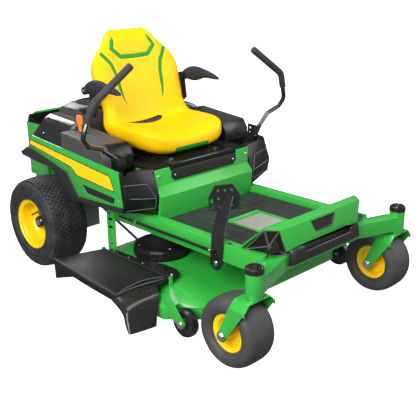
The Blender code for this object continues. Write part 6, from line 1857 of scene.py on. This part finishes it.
def intake_screen():
    """The engine's intake: a dark disc of painted shade under a boss, six rings and sixteen spokes."""
    low, high = corners("engine_shroud")
    middle = (low + high) / 2 * (1, 1, 0) + high * Z
    disc = [(0, -0.001), (SCREEN_R, -0.001), (SCREEN_R, 0.0008), (0, 0.0008)]
    piece("intake_screen", Shape().turn(disc, middle, Z, 48), LOOKS["pit"], "frame")
    ribs = Shape().turn([(0, -0.001), (0.016, -0.001), (0.014, 0.0060), (0, 0.0070)], middle, Z, 32)
    for radius in np.linspace(0.034, SCREEN_R, 6):
        inner, outer = radius - 0.0025, radius + 0.0025
        section = filleted([(inner, -0.001), (inner, 0.0045), (outer, 0.0045), (outer, -0.001)], 0.0010)
        ribs.grid(turned(section, middle, Z, 64), round_rows=True)
    for spoke in spokes(np.linspace(0, 360, 16, endpoint=False)):
        line = np.linspace(middle + 0.012 * spoke, middle + SCREEN_R * spoke, 2)
        ribs.grid(swept(line, bar(0.0040, 0.0080)))
    piece("intake_ribs", ribs, LOOKS["black"], "frame")


def head_fins():
    """The cooling fins of the engine's two heads."""
    fins = Shape()
    for _, side in SIDES:
        outline = filleted(oblong(FIN_ROOT * np.array([1, side]), FIN_TIP * np.array([1, side])), 0.010)
        for z in np.linspace(*FIN_HEIGHTS, FIN_COUNT):
            fins.slab(outline, z, z + 0.0030, 2, 0.0008)
    piece("head_fins", fins, LOOKS["alloy"], "frame")


def engine_fittings():
    """The oil filter before the engine and the muffler's bent outlet."""
    oil = Shape().turn(OIL_CAN, (corners("engine_block")[1][0], *OIL_CAN_PLACE), X, 40)
    piece("oil_filter", oil, LOOKS["satin_black"], "frame", sharp=50)
    outlet = Shape().tube(smooth_path(OUTLET, 24), 0.0130, 20, X)
    piece("muffler_outlet", outlet, LOOKS["dark_steel"], "frame")


def fuel_cap_grip():
    """The fuel cap's grip: a turned wall with a ripple of cos(24 a) round it."""
    low, high = corners("fuel_cap")
    centre = (low + high) / 2 * (1, 1, 0)
    wall = [(0.0345, low[2] + 0.002), (0.0362, low[2] + 0.004)]
    wall += [(0.0362, high[2] - 0.005), (0.0335, high[2] - 0.0015)]
    grip = turned(wall, centre, Z, GRIP_STEPS)
    turn = np.linspace(0, 2 * np.pi, GRIP_STEPS, endpoint=False)
    ripple = np.cos(GRIP_RIPPLES * turn) * np.array([[0], [1], [1], [0]])
    grip = grip + (grip - centre) * (1, 1, 0) / 0.036 * (0.0011 * ripple)[..., None]
    piece("fuel_cap_grip", Shape().grid(grip), LOOKS["black"], "cap")


BODY_BUILDERS = (
    console_cover,
    throttle_slot,
    throttle_paddle,
    badge_recess,
    bumper_caps,
    hatch,
    body_bolts,
    rail_holes,
    tower_covers,
    corner_creases,
    guard_liner,
    mat_ribs,
    guard_ridges,
)
CHUTE_AND_ENGINE_BUILDERS = (
    chute_ridges,
    chute_flap,
    hinge_plate,
    pedal_bolts,
    intake_screen,
    head_fins,
    engine_fittings,
    fuel_cap_grip,
)


class MOWER_OT_body(bpy.types.Operator):
    """Adds the stripes, skins, ribs and bolts of the body, deck and engine"""

    bl_idname = "mower.body"
    bl_label = "Body trim"

    def execute(self, context):
        for name, side in SIDES:
            panel_trim(name, side)
            hump_skin(name, side)
            hump_slots(name, side)
            caster_bolts(name)
            cap_crown(name)
            lever_bolts(name, side)
        for build in BODY_BUILDERS:
            build()
        for name, side in SIDES:
            cover_dome(name)
            deck_bolts(name, side)
            hanger_slots(name, side)
        chute_sheet("chute_roof", CHUTE_ROOF, "chute", ("discharge_chute",))
        chute_sheet("chute_skirt", CHUTE_SKIRT, "satin_black")
        for build in CHUTE_AND_ENGINE_BUILDERS:
            build()
        return {"FINISHED"}


# Studio

CAMERA_PLACE = (3.0677, -2.2478, 1.4767)
CAMERA_AZIMUTH = math.radians(46.0991)
CAMERA_ELEVATION = math.radians(19.0191)
CAMERA_ROLL = math.radians(-0.6999)
CAMERA_FOCAL = 718.643 / 416
SENSOR = 36.0
STAGE_REACH = 14.0
SOFTBOXES = (
    ("key_softbox", (2.4, -3.9, 2.8), 2.6, "key"),
    ("top_softbox", (0.6, -0.4, 4.4), 2.4, "top"),
    ("left_softbox", (3.4, 2.6, 2.4), 2.2, "fill"),
    ("rear_softbox", (-3.6, 0.75, 2.75), 1.5, "rear"),
)


def camera_axes():
    """The camera's right, up and back vectors from its azimuth, elevation and roll."""
    a, e, r = CAMERA_AZIMUTH, CAMERA_ELEVATION, CAMERA_ROLL
    back = np.array([math.sin(a) * math.cos(e), -math.cos(a) * math.cos(e), math.sin(e)])
    right = unit(np.cross(-back, Z))
    up = np.cross(right, -back)
    return right * math.cos(r) + up * math.sin(r), up * math.cos(r) - right * math.sin(r), back


def aimed(place, right, up, back):
    """A matrix that looks along minus back from a place."""
    matrix = np.eye(4)
    matrix[:3, :3] = np.stack([right, up, back], -1)
    matrix[:3, 3] = place
    return Matrix(matrix.tolist())


def softbox(name, place, size, power):
    """A square area light that looks at the machine's middle."""
    light = bpy.data.lights.new(name, "AREA")
    light.size = size
    light.energy = power
    obj = bpy.data.objects.new(name, light)
    bpy.context.scene.collection.objects.link(obj)
    back = unit(np.asarray(place) - (0.5, 0, 0.4))
    right = unit(np.cross(Z, back))
    obj.matrix_world = aimed(np.asarray(place) + ORIGIN, right, np.cross(back, right), back)


def stage_piece(name, points, faces, base, glow):
    """A pale piece of the stage that glows by itself and throws no light on the machine."""
    look = Look(name)
    tone = look.noise(0.6, 2.0)
    shade = look.mix(tinted(base, 0.985), tuple(base), tone)
    material = look.finish(
        base_color=shade, roughness=0.8, emission_color=(1, 1, 1), emission_strength=glow
    )
    mesh = bpy.data.meshes.new(name)
    mesh.from_pydata((points + ORIGIN).tolist(), [], faces)
    mesh.materials.append(material)
    obj = bpy.data.objects.new(name, mesh)
    bpy.context.scene.collection.objects.link(obj)
    obj.visible_diffuse = False
    obj.visible_glossy = False
    return obj


def studio_stage(settings):
    """A wide pale floor just under the tyres, inside a white dome."""
    edge = np.array([-STAGE_REACH, STAGE_REACH])
    x, y = np.meshgrid(edge, edge, indexing="ij")
    floor = np.stack([x, y, np.full_like(x, -0.0005)], -1).reshape(-1, 3)
    stage_piece("studio_floor", floor, [[0, 2, 3, 1]], settings.floor, settings.floor_glow)
    angle = np.linspace(-0.05, np.pi / 2 - 0.01, 12)
    profile = STAGE_REACH * np.stack([np.cos(angle), np.sin(angle)], -1)
    shell = Shape().grid(turned(profile, np.zeros(3), Z, 32), caps=False)
    dome = stage_piece("studio_dome", np.concatenate(shell.points), shell.faces, settings.floor, 1.2)
    dome.visible_shadow = False


def studio_camera():
    """The camera at the photograph's place."""
    lens = bpy.data.cameras.new("photo_camera")
    lens.sensor_width = SENSOR
    lens.lens = SENSOR * CAMERA_FOCAL
    camera = bpy.data.objects.new("photo_camera", lens)
    bpy.context.scene.collection.objects.link(camera)
    camera.matrix_world = aimed(np.asarray(CAMERA_PLACE) + ORIGIN, *camera_axes())
    bpy.context.scene.camera = camera


class MOWER_OT_stage(bpy.types.Operator):
    """Builds the floor, the softboxes and the camera"""

    bl_idname = "mower.stage"
    bl_label = "Stage"

    def execute(self, context):
        settings = context.scene.mower_stage
        studio_stage(settings)
        for name, place, size, power in SOFTBOXES:
            softbox(name, place, size, getattr(settings, power))
        world = bpy.data.worlds.new("studio_sky")
        world.use_nodes = True
        sky = world.node_tree.nodes["Background"]
        sky.inputs["Color"].default_value = (1, 1, 1, 1)
        sky.inputs["Strength"].default_value = settings.sky
        context.scene.world = world
        context.scene.view_settings.view_transform = "Standard"
        studio_camera()
        return {"FINISHED"}


# Panel and registration


class MOWER_PT_panel(bpy.types.Panel):
    """Lists the machine's settings and builders"""

    bl_idname = "MOWER_PT_panel"
    bl_label = "Zero turn mower"
    bl_space_type = "VIEW_3D"
    bl_region_type = "UI"
    bl_category = "Mower"

    def draw(self, context):
        layout = self.layout
        for holder, group in SETTINGS.items():
            box = layout.box()
            settings = getattr(context.scene, holder)
            for field in group.__annotations__:
                box.prop(settings, field)
        for operator in OPERATORS:
            layout.operator(operator.bl_idname)


SETTINGS = {
    "mower_finish": FinishSettings,
    "mower_wheels": WheelSettings,
    "mower_seat": SeatSettings,
    "mower_stage": StageSettings,
}
OPERATORS = (
    MOWER_OT_stage,
    MOWER_OT_finishes,
    MOWER_OT_wheels,
    MOWER_OT_seat,
    MOWER_OT_body,
)


def register():
    """Registers the settings, builders and panel."""
    for holder, group in SETTINGS.items():
        bpy.utils.register_class(group)
        setattr(bpy.types.Scene, holder, PointerProperty(type=group))
    for cls in (*OPERATORS, MOWER_PT_panel):
        bpy.utils.register_class(cls)


def unregister():
    """Takes the settings, builders and panel out again."""
    for cls in (MOWER_PT_panel, *reversed(OPERATORS)):
        bpy.utils.unregister_class(cls)
    for holder, group in reversed(SETTINGS.items()):
        delattr(bpy.types.Scene, holder)
        bpy.utils.unregister_class(group)


def main():
    """Builds everything in order."""
    for other in [o for o in bpy.data.objects if o.name in ("Cube", "Light", "Camera")]:
        bpy.data.objects.remove(other)
    register()
    for operator in OPERATORS:
        group, name = operator.bl_idname.split(".")
        getattr(getattr(bpy.ops, group), name)()


if __name__ == "__main__":
    main()
